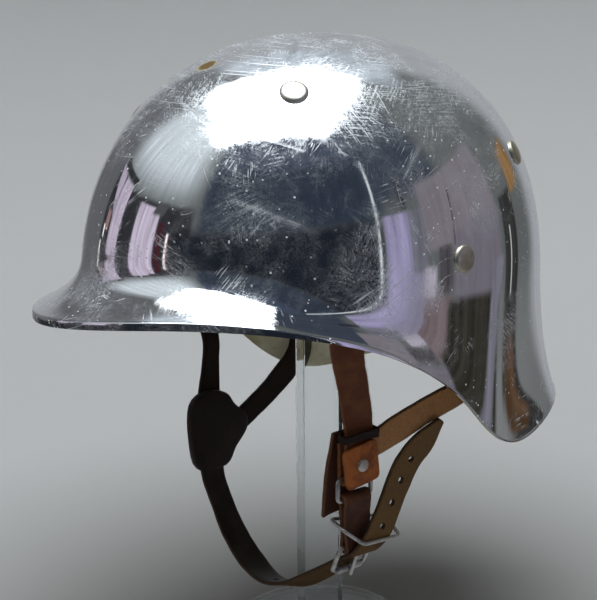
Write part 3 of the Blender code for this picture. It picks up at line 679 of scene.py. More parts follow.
RUST_SPOT = (0.0056, -0.0712, 0.3247)
spot_far = arrows(plating, "LENGTH", arrows(plating, "SUBTRACT", here, RUST_SPOT), None, "Value")
spot_far = spot_far + (plating.noise(here, 300.0, 2.0) - 0.5) * 0.003
rust = 1.0 - ramp(spot_far, 0.0036, 0.0046)
chipped = 1.0 - ramp(spot_far, 0.0046, 0.0058)
steel = plating.mix(chipped, steel, (0.42, 0.38, 0.24))
steel = plating.mix(rust, steel, (0.17, 0.10, 0.022))
plating.feed(
    Base_Color=steel,
    Roughness=clamped(0.030 + worn * 0.50 + chipped * 0.3),
    Metallic=clamped(1.0 - chipped * 0.8 - pits - lines * 0.30 - haze * 0.20))
plating.bump(lines * -0.3 - pits + haze * grain * 0.2, 0.00005, 0.6)

lining_paint = Finish("inner_paint", Roughness=0.55)
stain = lining_paint.noise(lining_paint.place, 30.0, 5.0, 0.65)
smear = lining_paint.noise(lining_paint.stretched(lining_paint.place, (60.0, 60.0, 200.0)), 1.0, 3.0)
cream = lining_paint.mix(ramp(stain, 0.42, 0.68), (0.80, 0.75, 0.56), (0.46, 0.40, 0.24))
cream = lining_paint.mix(ramp(smear, 0.60, 0.72) * 0.5, cream, (0.20, 0.15, 0.08))
lining_paint.feed(Base_Color=cream, Roughness=0.45 + stain * 0.3)
lining_paint.bump(stain, 0.0003, 0.5)
print("plating has", len(plating.tree.nodes), "nodes")

# %% Thicken the skin into the shell
shell = add("helmet_shell", skin, plating.material, lining_paint.material)
thicken = shell.modifiers.new("thickness", 'SOLIDIFY')
thicken.thickness = SHELL_THICK
thicken.offset = -1
thicken.use_even_offset = True
thicken.material_offset = 1
thicken.material_offset_rim = 0
soften = shell.modifiers.new("rim", 'BEVEL')
soften.width = 0.0004
soften.segments = 3
soften.limit_method = 'ANGLE'
soften.angle_limit = math.radians(50)
soften.harden_normals = True
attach(shell, "root")
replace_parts(shell, "shell")
print("shell thickness", SHELL_THICK)

# %% [markdown]
# ## Rivets
# Each rivet is a nickelled disc with a soft dome. Six could be placed by hand, but one that leans shows at
# once. So one head is turned, and Geometry Nodes set a copy on the nearest point of the shell to each place
# in the frame, standing straight out of the wall.

# %% Turn one head and set six
nickel = Finish("nickel", Metallic=1.0)
tarnish = nickel.noise(nickel.place, 120.0, 4.0, 0.6)
rubbed = nickel.noise(nickel.stretched(nickel.place, (900.0, 900.0, 90.0), (30, 20, 0)), 1.0, 2.0)
nickel_colour = nickel.mix(ramp(tarnish, 0.35, 0.70), (0.74, 0.73, 0.68), (0.50, 0.46, 0.34))
nickel.feed(Base_Color=nickel_colour, Roughness=clamped(0.22 + tarnish * 0.25 + rubbed * 0.15))
nickel.bump(rubbed + tarnish * 0.6, 0.00008, 0.5)

RIVET = {"Head Radius": 0.0067, "Head Height": 0.0019}
HEAD_SHANK = 0.0006             # how far a head reaches into the wall
# Share of the head's radius, share of its height, from its middle out
HEAD_CURVE = ((0.30, 0.975), (0.55, 0.92), (0.74, 0.82), (0.86, 0.68), (0.94, 0.48), (0.985, 0.25))
RIVET_NAMES = [name for name in nodes if name.startswith("rivet_")]


def head_profile(radius_of, height_of):
    """Radius and height pairs of a flat domed head, top first, down to the wall."""
    rows = [(0.0, height_of)]
    for share_of, rise_of in HEAD_CURVE:
        rows.append((radius_of * share_of, height_of * rise_of))
    return rows + [(radius_of, 0.0), (radius_of * 0.97, -HEAD_SHANK), (0.0, -HEAD_SHANK)]


rivet_head = add("rivet_head", lathe("rivet_head", head_profile(*RIVET.values()), 40), nickel.material)
skin_source = add("skin_source", skin.copy())
middles = []
for name in RIVET_NAMES:
    low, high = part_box(name)
    middles.append((Vector(low) + Vector(high)) / 2)
seeds = bpy.data.meshes.new("rivet_places")
seeds.from_pydata([tuple(spot) for spot in middles], [], [])


def mesh_of(recipe, source):
    """The mesh of an object that a tree is given."""
    return recipe.node("GeometryNodeObjectInfo", {"transform_space": 'ORIGINAL'}, {
        "Object": source}, "Geometry")


inputs = {"Head": rivet_head, "Wall": skin_source, "Finish": nickel.material}
setter, places_in, given = new_tree("set_rivets", inputs)
wall_mesh = mesh_of(setter, given["Wall"])
head_mesh = mesh_of(setter, given["Head"])
at_place = setter.node("GeometryNodeInputPosition")
wall_normal = setter.node("GeometryNodeInputNormal")
wall_place = setter.node("GeometryNodeInputPosition")
near_spot, near_out = (
    setter.node("GeometryNodeSampleNearestSurface", {"data_type": 'FLOAT_VECTOR'}, {
        "Mesh": wall_mesh, "Value": sampled, "Sample Position": at_place}, "Value")
    for sampled in (wall_place, wall_normal))
upright = setter.node("FunctionNodeAlignRotationToVector", {"axis": 'Z'}, {"Vector": near_out})
seated = setter.node("GeometryNodeSetPosition", None, {"Geometry": places_in, "Position": near_spot})
copies = setter.node("GeometryNodeInstanceOnPoints", None, {
    "Points": seated, "Instance": head_mesh, "Rotation": upright})
solid_copies = setter.node("GeometryNodeRealizeInstances", None, {"Geometry": copies})
painted = setter.node("GeometryNodeSetMaterial", None, {
    "Geometry": solid_copies, "Material": given["Finish"]})
close_tree(setter, painted)
rivets = add("shell_rivets", run_tree("shell_rivets", seeds, setter, inputs))
bpy.data.objects.remove(rivet_head)
bpy.data.objects.remove(skin_source)
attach(rivets, "root")
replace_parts(rivets, *RIVET_NAMES)
print("rivets set:", len(RIVET_NAMES), "faces", len(rivets.data.polygons))

# %% [markdown]
# ## Leather
# Strap leather has two faces: a smooth grain side that takes the dye, and a fibrous flesh side that stays
# pale. Each strap is a loft with rounded corners. Its UV map is in metres, across and along, and an attribute
# says which face a point is on, so one recipe can colour both faces and the raw edge between them.

# %% Loft straps
STRAP_W = 0.0165
STRAP_T = 0.0022


def between(rows, where):
    """A smooth row of numbers at a place along the rows, counted from 0."""
    last = len(rows) - 1
    first = max(0, min(int(where), last - 1))
    t = where - first
    a, b, c, d = (np.array(rows[max(0, min(last, first + k))], dtype=float) for k in (-1, 0, 1, 2))
    bend_by, twist_by = 2 * a - 5 * b + 4 * c - d, 3 * b - a - 3 * c + d
    return 0.5 * (2 * b + (c - a) * t + bend_by * t ** 2 + twist_by * t ** 3)


def strap_profile(width, thick, corner=0.0005, across=8):
    """Points round a strap's section as (across, out) pairs in metres."""
    half_w, half_t = width / 2, thick / 2
    corner = min(corner, half_t * 0.8)
    ring = []
    for sx, sy, start in ((1, 1, 0), (-1, 1, 90), (-1, -1, 180), (1, -1, 270)):
        for k in range(3):
            a = math.radians(start + k * 45)
            u, v = sx * (half_w - corner), sy * (half_t - corner)
            ring.append((u + corner * math.cos(a), v + corner * math.sin(a)))
        if sy * sx > 0:
            for k in range(1, across):
                ring.append(((half_w - corner) * sx * (1 - 2 * k / across), sy * half_t))
    return ring


def strap(name, rows, look, width=STRAP_W, thick=STRAP_T, steps=10, closed=False, wobble=0.0003, seed=1):
    """A strap lofted along rows of centre, width direction and share of the width."""
    count = len(rows) * steps if closed else (len(rows) - 1) * steps + 1
    if closed:
        looped = [rows[(j - 1) % len(rows)] for j in range(len(rows) + 3)]
        sections = [between(looped, 1 + k / steps) for k in range(count)]
    else:
        sections = [between(rows, k / steps) for k in range(count)]
    centres = [Vector(section[:3]) * MM for section in sections]
    ring = strap_profile(width, thick)
    size_of = len(ring)
    random = np.random.default_rng(seed)
    phases = random.uniform(0, 6.28, 4)
    points, along_of, run = [], [], 0.0
    for k, section in enumerate(sections):
        if closed:
            along = centres[(k + 1) % count] - centres[k - 1]
        else:
            along = centres[min(k + 1, count - 1)] - centres[max(k - 1, 0)]
        run += (centres[k] - centres[k - 1]).length if k else 0.0
        along_of.append(run)
        across = Vector(section[3:6]).normalized()
        outward = across.cross(along).normalized()
        uneven = 0.012 * math.sin(run * 260 + phases[0]) + 0.008 * math.sin(run * 610 + phases[1])
        narrow = section[6] * (1 + uneven)
        for u, v in ring:
            edge = (abs(u) / (width / 2)) ** 3
            curl = wobble * edge * math.sin(run * 130 + phases[2] + (1.5 if u > 0 else 0))
            points.append(centres[k] + across * (u * narrow) + outward * (v + curl))
    faces = []
    for k in range(count if closed else count - 1):
        near, far = size_of * k, size_of * ((k + 1) % count)
        for j in range(size_of):
            nxt = (j + 1) % size_of
            faces.append((near + j, near + nxt, far + nxt, far + j))
    if not closed:
        faces.append(tuple(range(size_of - 1, -1, -1)))
        faces.append(tuple(range(size_of * (count - 1), size_of * count)))
    mesh = bpy.data.meshes.new(name)
    mesh.from_pydata(points, [], faces)
    side = mesh.attributes.new("side", 'FLOAT', 'POINT')
    side.data.foreach_set("value", [v / (thick / 2) for _ in range(count) for _, v in ring])
    edge_of = mesh.attributes.new("across", 'FLOAT', 'POINT')
    edge_of.data.foreach_set("value", [u / (width / 2) for _ in range(count) for u, _ in ring])
    uv = mesh.uv_layers.new(name="UVMap")
    for loop in mesh.loops:
        k, j = divmod(loop.vertex_index, size_of)
        uv.data[loop.index].uv = (ring[j][0] + (0.05 if ring[j][1] < 0 else 0.0), along_of[k])
    work = bmesh.new()
    work.from_mesh(mesh)
    bmesh.ops.recalc_face_normals(work, faces=work.faces)
    for face in work.faces:
        face.smooth = len(face.verts) == 4
    work.to_mesh(mesh)
    work.free()
    made = add(name, mesh, look)
    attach(made, "root")
    print(name, "length", round(along_of[-1] * 1000), "mm")
    return made


# %% Mix the leathers
def leather(name, grain, worn, flesh, edge, flesh_on=-1, rough=0.55):
    """Leather with a dyed side, a flesh side and a raw edge; colours are linear."""
    made = Finish(name, Specular_IOR_Level=0.28)
    uv = made.node("ShaderNodeTexCoord", out="UV")
    side_of = made.node("ShaderNodeAttribute", {"attribute_name": "side"}, out="Fac")
    across_of = made.node("ShaderNodeAttribute", {"attribute_name": "across"}, out="Fac")
    cloud_of = made.noise(made.place, 70.0, 4.0, 0.6)
    pores = made.node("ShaderNodeTexVoronoi", None, {"Vector": made.place, "Scale": 1500.0}, "Distance")
    fibre = made.noise(made.stretched(uv, (2600.0, 420.0, 1.0)), 1.0, 4.0, 0.65)
    nap = made.noise(made.place, 1800.0, 3.0, 0.6)
    crease = ramp(made.noise(made.stretched(uv, (90.0, 900.0, 1.0)), 1.0, 2.0), 0.60, 0.72)
    is_flesh = ramp(side_of * float(flesh_on), -0.2, 0.4)
    is_edge = ramp(maths("ABSOLUTE", across_of), 0.90, 0.99)
    top = made.mix(ramp(cloud_of, 0.40, 0.68), grain, worn)
    # painted shade: creases are coloured a darker copy of the grain, 0.45 as bright, besides their bump
    top = made.mix(crease * 0.5, top, tuple(c * 0.45 for c in grain))
    under = made.mix(ramp(fibre, 0.32, 0.70), tuple(c * 0.62 for c in flesh), flesh)
    under = made.mix(ramp(cloud_of, 0.50, 0.80) * 0.6, under, tuple(c * 0.5 for c in flesh))
    both_sides = made.mix(is_flesh, top, under)
    whole = made.mix(is_edge * ramp(nap, 0.30, 0.60), both_sides, edge)
    made.feed(Base_Color=whole, Roughness=clamped(rough + is_flesh * 0.25 + (nap - 0.5) * 0.25))
    relief = pores * (1.0 - is_flesh) * 0.5 + fibre * is_flesh * 1.2 + nap * 0.5 - crease * 0.6
    made.bump(relief, 0.00022, 0.7)
    return made.material


red_brown = leather(
    "red_brown_leather", (0.085, 0.024, 0.008), (0.13, 0.042, 0.014),
    (0.155, 0.052, 0.017), (0.19, 0.075, 0.030), flesh_on=1, rough=0.70)
tan_flesh = leather(
    "tan_leather", (0.05, 0.024, 0.013), (0.08, 0.038, 0.020),
    (0.37, 0.185, 0.078), (0.030, 0.016, 0.010), flesh_on=-1, rough=0.65)
olive_flesh = leather(
    "olive_flesh_leather", (0.010, 0.006, 0.005), (0.020, 0.013, 0.010),
    (0.155, 0.086, 0.032), (0.050, 0.027, 0.012), flesh_on=1, rough=0.52)
near_black = leather(
    "near_black_leather", (0.011, 0.006, 0.005), (0.022, 0.011, 0.009),
    (0.018, 0.009, 0.007), (0.018, 0.009, 0.006), flesh_on=-1, rough=0.50)
# painted shade: a darker copy of the red-brown leather, about six tenths as bright, for the flap and buckle
# strap that hang in shadow
shaded_red_brown = leather(
    "deep_brown_leather", (0.050, 0.016, 0.008), (0.085, 0.029, 0.013),
    (0.095, 0.034, 0.014), (0.13, 0.055, 0.026), flesh_on=1, rough=0.62)
print("leathers are mixed")

# %% [markdown]
# ## Straps on the right
# Two dark straps hang from the inner wall and meet in a black leather joint. The chin strap starts there too.
# Their rows repeat the route of the measured solids, so the straps lie where the frame says.

# %% Lay the right straps
# One row each section: centre x y z in mm, width direction, share of the width
RIGHT_FRONT = (
    (-92.5, -25.0, 196.0, -0.35, 0.92, -0.10, 1.0),
    (-85.5, -17.5, 168.0, -0.45, 0.88, -0.15, 1.0),
    (-79.0, -21.5, 151.0, -0.40, 0.90, -0.20, 1.0),
    (-70.6, -28.0, 135.0, -0.15, 0.96, -0.20, 1.0),
    (-68.0, -30.0, 123.0, 0.00, 0.97, -0.22, 1.0),
    (-67.7, -30.5, 114.0, 0.00, 0.97, -0.22, 1.0),
)
RIGHT_REAR = (
    (-88.5, 50.5, 164.0, 0.30, 0.85, -0.40, 1.0),
    (-85.0, 47.0, 144.0, 0.05, 0.66, -0.75, 1.0),
    (-77.5, 24.0, 129.5, 0.00, 0.62, -0.79, 0.9),
    (-70.5, 0.0, 118.5, 0.00, 0.62, -0.79, 0.85),
    (-67.6, -13.5, 112.8, 0.00, 0.60, -0.80, 0.80),
)
# Where straps reach the inner wall: degrees from the front, height of the end in mm
STRAP_TOPS = {
    "left_front": (60, 240), "left_rear": (119, 206), "right_front": (-74, 238), "right_rear": (-119, 200)}
WALL_ROOM = 0.0018


def skin_point(degrees, z_here):
    """The outer skin's point and normal where a level ray at an angle and a height meets it."""
    turn_here = math.radians(degrees)
    out_dir = Vector((math.sin(turn_here), -math.cos(turn_here), 0))
    start = Vector((0, 0, z_here * MM))
    _, spot, normal, _ = wall_probe.ray_cast(start, out_dir)
    return spot, normal


wall_probe = add("wall_probe", skin.copy())
bpy.context.view_layer.update()


def wall_rows(which):
    """Rows where a strap lies against the inner wall, top first."""
    degrees, top_z = STRAP_TOPS[which]
    left_of, _ = skin_point(degrees - 0.6, top_z)
    right_of, _ = skin_point(degrees + 0.6, top_z)
    across = (right_of - left_of).normalized()
    across = across * math.copysign(1, across.y)
    rows = []
    for z_here in (top_z, top_z - 8, top_z - 15):
        spot, normal = skin_point(degrees, z_here)
        out = Vector((spot.x, spot.y, 0)).normalized()
        normal = normal if normal.dot(out) > 0 else -normal
        spot = spot - normal * (SHELL_THICK + WALL_ROOM + STRAP_T / 2)
        rows.append((*(spot / MM), *across, 1.0))
    return rows


right_front_rows = wall_rows("right_front") + list(RIGHT_FRONT)
right_rear_rows = wall_rows("right_rear") + list(RIGHT_REAR)
right_front = strap("right_front_strap_leather", right_front_rows, near_black, seed=2)
right_rear = strap("right_rear_strap_leather", right_rear_rows, near_black, seed=3)
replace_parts(right_front, "right_front_strap")
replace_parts(right_rear, "right_rear_strap")

# %% Make the black joint
JOINT_OUTLINE = (
    (-43, 131), (-32, 138), (-19, 135), (-13, 127), (-5, 119),
    (-5, 110), (-13, 100), (-20, 90), (-39, 91), (-44, 110),
)
JOINT_X = -67.6
JOINT_T = 7.2


def flowing(outline):
    """A closed smooth line through an outline's corners."""
    loop = []
    for k in range(len(outline)):
        looped = [outline[(k + j) % len(outline)] for j in (-1, 0, 1, 2)]
        loop += [between(looped, 1 + t) for t in (0.0, 0.25, 0.5, 0.75)]
    return loop


# One row each ring of a cushion: share of the way in from the outline, share of half the thickness
CUSHION_RINGS = ((0.0, 0.55), (0.025, 0.80), (0.07, 0.95), (0.14, 1.0), (0.40, 1.08), (0.75, 1.16))
CUSHION_TOP = 1.18


def cushion(name, loop, x_middle, thick, look):
    """A thick leather piece cut to an outline in the YZ plane, with soft edges and a slight swell."""
    centre_y = sum(p[0] for p in loop) / len(loop)
    centre_z = sum(p[1] for p in loop) / len(loop)
    rings = []
    for inset, out in CUSHION_RINGS:
        rings.append([
            (y + (centre_y - y) * inset, z_here + (centre_z - z_here) * inset, out) for y, z_here in loop])
    points, faces, count = [], [], len(loop)
    for sign in (1, -1):
        base, half_thick = len(points), sign * thick / 2
        for ring in rings:
            points += [((x_middle + half_thick * out) * MM, y * MM, z_here * MM) for y, z_here, out in ring]
        points.append(((x_middle + half_thick * CUSHION_TOP) * MM, centre_y * MM, centre_z * MM))
        for row in range(len(rings) - 1):
            for k in range(count):
                a, b = base + row * count + k, base + row * count + (k + 1) % count
                faces.append((a, b, b + count, a + count))
        last = base + (len(rings) - 1) * count
        faces += [(last + k, last + (k + 1) % count, len(points) - 1) for k in range(count)]
    half = len(rings) * count + 1
    faces += [(k, (k + 1) % count, half + (k + 1) % count, half + k) for k in range(count)]
    mesh = bpy.data.meshes.new(name)
    mesh.from_pydata(points, [], faces)
    side = mesh.attributes.new("side", 'FLOAT', 'POINT')
    side.data.foreach_set("value", [1.0] * len(points))
    uv = mesh.uv_layers.new(name="UVMap")
    for loop_corner in mesh.loops:
        spot = points[loop_corner.vertex_index]
        uv.data[loop_corner.index].uv = (spot[1], spot[2])
    work = bmesh.new()
    work.from_mesh(mesh)
    bmesh.ops.recalc_face_normals(work, faces=work.faces)
    for face in work.faces:
        face.smooth = True
    work.to_mesh(mesh)
    work.free()
    made = add(name, mesh, look)
    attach(made, "root")
    return made


joint = cushion("right_joint_leather", flowing(JOINT_OUTLINE), JOINT_X, JOINT_T * 0.92, near_black)
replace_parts(joint, "right_strap_joint")
print("joint faces", len(joint.data.polygons))

# %% [markdown]
# ## The chin strap
# One long strap leaves the joint, passes under the chin, goes over the buckle's roller and runs up the left
# side as a free end with punched holes. The holes are cut with a boolean, because a real punch leaves a clean
# edge. The tip lies a few millimetres off the measured solid, so that it passes in front of the rear strap.

# %% Lay the chin strap and punch it
CHIN = (
    (-67.5, -29.5, 108.5, 0.0, 0.95, -0.30, 1.0),
    (-66.9, -30.0, 97.0, 0.0, 0.95, -0.32, 1.0),
    (-64.3, -30.0, 84.0, 0.0, 0.95, -0.30, 1.0),
    (-57.8, -28.0, 69.0, 0.0, 0.97, -0.22, 1.0),
    (-47.0, -27.0, 55.0, 0.0, 1.00, -0.10, 1.0),
    (-33.0, -25.5, 43.0, 0.0, 1.00, -0.02, 1.0),
    (-14.0, -25.0, 38.0, 0.0, 0.98, -0.18, 1.0),
    (8.0, -24.0, 43.5, 0.0, 0.93, -0.38, 1.0),
    (26.0, -21.0, 55.5, 0.0, 0.93, -0.36, 1.0),
    (41.5, -17.5, 68.9, 0.0, 1.00, -0.10, 1.0),
    (49.4, -17.0, 74.9, 0.0, 1.00, 0.00, 1.0),
    (58.7, -16.5, 80.0, 0.0, 1.00, -0.05, 1.0),
    (63.5, -12.5, 89.0, 0.0, 0.97, -0.22, 1.0),
    (64.2, -6.5, 100.0, 0.0, 0.93, -0.38, 1.0),
    (64.0, 0.5, 112.5, 0.0, 0.90, -0.45, 1.0),
    (65.0, 7.2, 125.3, 0.0, 0.89, -0.46, 1.0),
    (70.6, 12.9, 137.3, 0.0, 0.85, -0.53, 0.9),
    (76.4, 19.0, 148.3, 0.0, 0.80, -0.60, 0.25),
)
HOLES = (12.5, 13.45, 14.3, 15.15, 6.25)
HOLE_R = 0.0017


def upright_at(spot, axis):
    """The matrix that moves a shape to a place and stands its Z along an axis."""
    return Matrix.Translation(spot) @ axis.to_track_quat('Z', 'Y').to_matrix().to_4x4()


def punch(piece, name, spot, outward, radius_of):
    """Cut a round hole right through a piece, then drop the cutter."""
    work = bmesh.new()
    bmesh.ops.create_cone(work, cap_ends=True, segments=24, radius1=radius_of, radius2=radius_of, depth=0.008)
    work.transform(upright_at(spot, outward))
    mesh = bpy.data.meshes.new(name)
    work.to_mesh(mesh)
    work.free()
    cutter = add(name, mesh)
    step_of = piece.modifiers.new(name, 'BOOLEAN')
    step_of.operation = 'DIFFERENCE'
    step_of.solver = 'EXACT'
    step_of.object = cutter
    graph = bpy.context.evaluated_depsgraph_get()
    graph.update()
    cut_mesh = bpy.data.meshes.new_from_object(piece.evaluated_get(graph))
    piece.modifiers.remove(step_of)
    old = piece.data
    piece.data = cut_mesh
    bpy.data.meshes.remove(old)
    bpy.data.objects.remove(cutter)


chin = strap("chin_strap_leather", CHIN, olive_flesh, steps=9, seed=4)
for k, where in enumerate(HOLES):
    row = between(CHIN, where)
    along = Vector(between(CHIN, where + 0.05)[:3]) - Vector(between(CHIN, where - 0.05)[:3])
    outward = Vector(row[3:6]).normalized().cross(along).normalized()
    punch(chin, "punch_%d" % k, Vector(row[:3]) * MM, outward, HOLE_R)
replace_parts(chin, "chin_strap")
print("chin strap holes", len(HOLES))

# %% [markdown]
# ## Straps, tab and ring on the left
# The front strap folds round a steel ring and comes back up behind itself. A square tab and one rivet hold
# the fold and the end of the rear strap. A second short strap hangs from the ring and carries the buckle. The
# rear strap sags a little more than the measured solid, which leaves room for the free end over it.

# %% Lay the left straps
WIRE_R = 0.0012
GAP = 0.0003
BAR_HALF = 0.0105
FOLD_R = WIRE_R + GAP + STRAP_T / 2
RING_TOP = Vector((64.0, -27.5, 125.5)) * MM
RING_BOTTOM = Vector((64.0, -27.5, 114.0)) * MM
BUCKLE_HINGE = Vector((53.5, -17.5, 82.5)) * MM
BUCKLE_ROLLER = Vector((46.0, -17.0, 66.8)) * MM
BUCKLE_OUT = Vector((0.90, 0.0, -0.43)).normalized()
LEFT_FRONT = (
    (85.5, -50.0, 199.0, 0.42, 0.88, -0.20, 1.0),
    (78.0, -41.0, 181.0, 0.32, 0.93, -0.18, 1.0),
    (71.8, -33.2, 165.0, 0.20, 0.97, -0.12, 1.0),
    (67.8, -28.7, 153.0, 0.08, 1.00, -0.04, 1.0),
    (66.6, -27.5, 144.0, 0.0, 1.0, 0.0, 1.0),
    (66.6, -27.5, 129.0, 0.0, 1.0, 0.0, 1.0),
)
LEFT_REAR = (
    (89.5, 42.5, 177.5, -0.35, 0.80, -0.40, 1.0),
    (80.5, 29.8, 164.0, -0.10, 0.72, -0.62, 1.0),
    (72.5, 15.0, 154.6, 0.00, 0.70, -0.70, 1.0),
    (67.0, 0.6, 146.4, 0.00, 0.60, -0.80, 0.95),
    (65.2, -12.5, 141.2, 0.00, 0.50, -0.87, 0.85),
    (63.9, -19.0, 138.2, 0.00, 0.40, -0.92, 0.75),
    (63.9, -31.0, 134.8, 0.00, 0.30, -0.95, 0.70),
)
FLAP = (
    (58.0, -30.0, 148.0, 0.0, 1.00, 0.00, 0.9),
    (57.5, -30.0, 134.0, 0.0, 1.00, 0.00, 1.1),
    (56.0, -31.0, 119.0, 0.0, 1.00, 0.00, 1.1),
    (52.5, -32.0, 104.0, 0.0, 0.97, 0.10, 0.9),
)


def fold_rows(bar, start, stop, count):
    """Rows of a strap that bends round a bar along Y; 0 degrees is +X and 90 is down."""
    rows = []
    for k in range(count):
        turn_here = math.radians(start + (stop - start) * k / (count - 1))
        spot = bar + Vector((math.cos(turn_here), 0, -math.sin(turn_here))) * FOLD_R
        rows.append((*(spot / MM), 0.0, 1.0, 0.0, 1.0))
    return rows


back_x = (RING_TOP.x - FOLD_R) / MM
tail = [(back_x, -27.5, z_here, 0.0, 1.0, 0.0, 1.0) for z_here in (129.0, 143.5)]
front_rows = wall_rows("left_front") + list(LEFT_FRONT) + fold_rows(RING_TOP, 0, 180, 5) + tail
left_front = strap("left_front_strap_leather", front_rows, red_brown, steps=8, seed=5)
left_rear = strap("left_rear_strap_leather", wall_rows("left_rear") + list(LEFT_REAR), tan_flesh, seed=6)
# the flap takes the darker copy of the red-brown leather: painted shade
flap = strap("left_flap_leather", FLAP, shaded_red_brown, seed=7, wobble=0.0008)
bpy.data.objects.remove(wall_probe)
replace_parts(left_front, "left_front_strap")
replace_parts(left_rear, "left_rear_strap")
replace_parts(flap, "left_flap")

legs = BUCKLE_HINGE - RING_BOTTOM
lean = math.degrees(math.atan2(-legs.x, -legs.z))
pinch = []
for share_of, sign in ((0.28, 1), (0.5, 1), (0.72, 1), (0.72, -1), (0.5, -1), (0.28, -1)):
    out = Vector((math.cos(math.radians(lean)), 0, -math.sin(math.radians(lean))))
    spot = RING_BOTTOM + legs * share_of + out * sign * (STRAP_T / 2 + GAP)
    pinch.append((*(spot / MM), 0.0, 1.0, 0.0, 1.0))
buckle_rows = fold_rows(RING_BOTTOM, 180 + lean, 360 + lean, 5) + pinch[:3]
buckle_rows += fold_rows(BUCKLE_HINGE, lean, 180 + lean, 5) + pinch[3:]
# the buckle strap takes the darker copy of the red-brown leather: painted shade
buckle_strap = strap("buckle_strap_leather", buckle_rows, shaded_red_brown, steps=4, closed=True, seed=8)
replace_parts(buckle_strap, "buckle_strap")

# %% [markdown]
# ## Tab, loop and wire
# The square tab is orange saddle leather, and a narrow dark band goes round the strap above it. The ring, the
# buckle and the keeper are bent from round steel wire. Each is a curve with a round bevel and eased corners.

# %% Cut the tab and the loop
orange = Finish("orange_leather", Specular_IOR_Level=0.3)
orange_cloud = orange.noise(orange.place, 160.0, 4.0, 0.6)
orange_nap = orange.noise(orange.place, 1500.0, 3.0)
orange_colour = orange.mix(ramp(orange_cloud, 0.38, 0.66), (0.30, 0.085, 0.014), (0.16, 0.040, 0.009))
orange.feed(Base_Color=orange_colour, Roughness=0.5 + orange_nap * 0.2)
orange.bump(orange_nap + orange_cloud, 0.00018, 0.6)

TAB_CENTRE = Vector((69.3, -27.5, 133.0))
TAB_SIZE = 21.5
TAB_T = 2.0
TAB_TURN = 8


def tab_outline():
    """The tab's outline in the YZ plane: straight cuts, slightly uneven, with small round corners."""
    half, ease, turn_by = TAB_SIZE / 2, 0.16, math.radians(TAB_TURN)
    corners = [(-half, half * 0.97), (-half * 0.98, -half), (half * 0.97, -half * 0.99), (half, half)]
    loop = []
    for k, corner in enumerate(corners):
        corner, last, after = (np.array(corners[(k + j) % 4]) for j in (0, -1, 1))
        start, end = corner + (last - corner) * ease, corner + (after - corner) * ease
        for t in (0.0, 0.25, 0.5, 0.75, 1.0):
            loop.append(start * (1 - t) ** 2 + corner * 2 * t * (1 - t) + end * t * t)
        loop += [end + (after - end) * t for t in (0.2, 0.4, 0.6)]
    return [(
        TAB_CENTRE.y + y * math.cos(turn_by) - z_here * math.sin(turn_by),
        TAB_CENTRE.z + y * math.sin(turn_by) + z_here * math.cos(turn_by)) for y, z_here in loop]


tab = cushion("left_tab_leather", tab_outline(), TAB_CENTRE.x, TAB_T, orange.material)
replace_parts(tab, "left_tab")

LOOP_CENTRE = (67.9, -28.0, 149.6)
LOOP_HALF_X, LOOP_HALF_Y = 3.3, 11.0
LOOP_FLATNESS = 0.55            # 1 gives an oval, and less squares it off
LOOP_W, LOOP_T = 0.0042, 0.0016

loop_rows = []
for turn_here in range(0, 360, 30):
    a = math.radians(turn_here)
    cx = math.copysign(abs(math.cos(a)) ** LOOP_FLATNESS, math.cos(a))
    cy = math.copysign(abs(math.sin(a)) ** LOOP_FLATNESS, math.sin(a))
    loop_x, loop_y = LOOP_CENTRE[0] + LOOP_HALF_X * cx, LOOP_CENTRE[1] + LOOP_HALF_Y * cy
    loop_z = LOOP_CENTRE[2] - 0.8 * cx - 1.6 * cy * cy
    loop_rows.append((loop_x, loop_y, loop_z, 0.19, 0.03, 0.98, 1.0))
loop_band = strap(
    "left_loop_leather", loop_rows, near_black, width=LOOP_W, thick=LOOP_T, steps=4, closed=True, seed=9)
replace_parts(loop_band, "left_strap_loop")
print("tab and loop are cut")


# %% Bend the wires
steel_wire = Finish("steel_wire", Metallic=1.0)
wire_cloud = steel_wire.noise(steel_wire.place, 220.0, 4.0, 0.6)
wire_fine = steel_wire.noise(steel_wire.place, 2200.0, 2.0)
wire_colour = steel_wire.mix(ramp(wire_cloud, 0.45, 0.75), (0.66, 0.67, 0.66), (0.36, 0.35, 0.31))
steel_wire.feed(Base_Color=wire_colour, Roughness=clamped(0.26 + wire_cloud * 0.28))
steel_wire.bump(wire_fine + wire_cloud, 0.00006, 0.6)


def wire(name, corners, radius_of, closed=True, rounding=0.0026):
    """Round wire through corners, with each corner eased; given back as a plain mesh."""
    corners = [Vector(corner) for corner in corners]
    path, count = [], len(corners)
    for k, corner in enumerate(corners):
        if not closed and k in (0, count - 1):
            path.append(corner)
            continue
        before, after = corners[k - 1] - corner, corners[(k + 1) % count] - corner
        reach = min(rounding, before.length / 2.2, after.length / 2.2)
        start, end = corner + before.normalized() * reach, corner + after.normalized() * reach
        for j in range(7):
            t = j / 6
            path.append(start * (1 - t) ** 2 + corner * 2 * t * (1 - t) + end * t * t)
    data = bpy.data.curves.new(name, 'CURVE')
    data.dimensions = '3D'
    data.bevel_depth = radius_of
    data.bevel_resolution = 4
    data.use_fill_caps = not closed
    line = data.splines.new('POLY')
    line.points.add(len(path) - 1)
    for point, spot in zip(line.points, path):
        point.co = (*spot, 1.0)
    line.use_cyclic_u = closed
    line.use_smooth = True
    carrier = bpy.data.objects.new(name + "_path", data)
    bpy.context.scene.collection.objects.link(carrier)
    graph = bpy.context.evaluated_depsgraph_get()
    graph.update()
    mesh = bpy.data.meshes.new_from_object(carrier.evaluated_get(graph))
    mesh.materials.clear()
    bpy.data.objects.remove(carrier)
    made = add(name, mesh, steel_wire.material)
    for polygon in mesh.polygons:
        polygon.use_smooth = True
    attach(made, "root")
    return made


def bar_pair(top_bar, bottom_bar):
    """Corners of a rectangular wire with bars along Y."""
    half = Vector((0, BAR_HALF, 0))
    return top_bar - half, top_bar + half, bottom_bar + half, bottom_bar - half


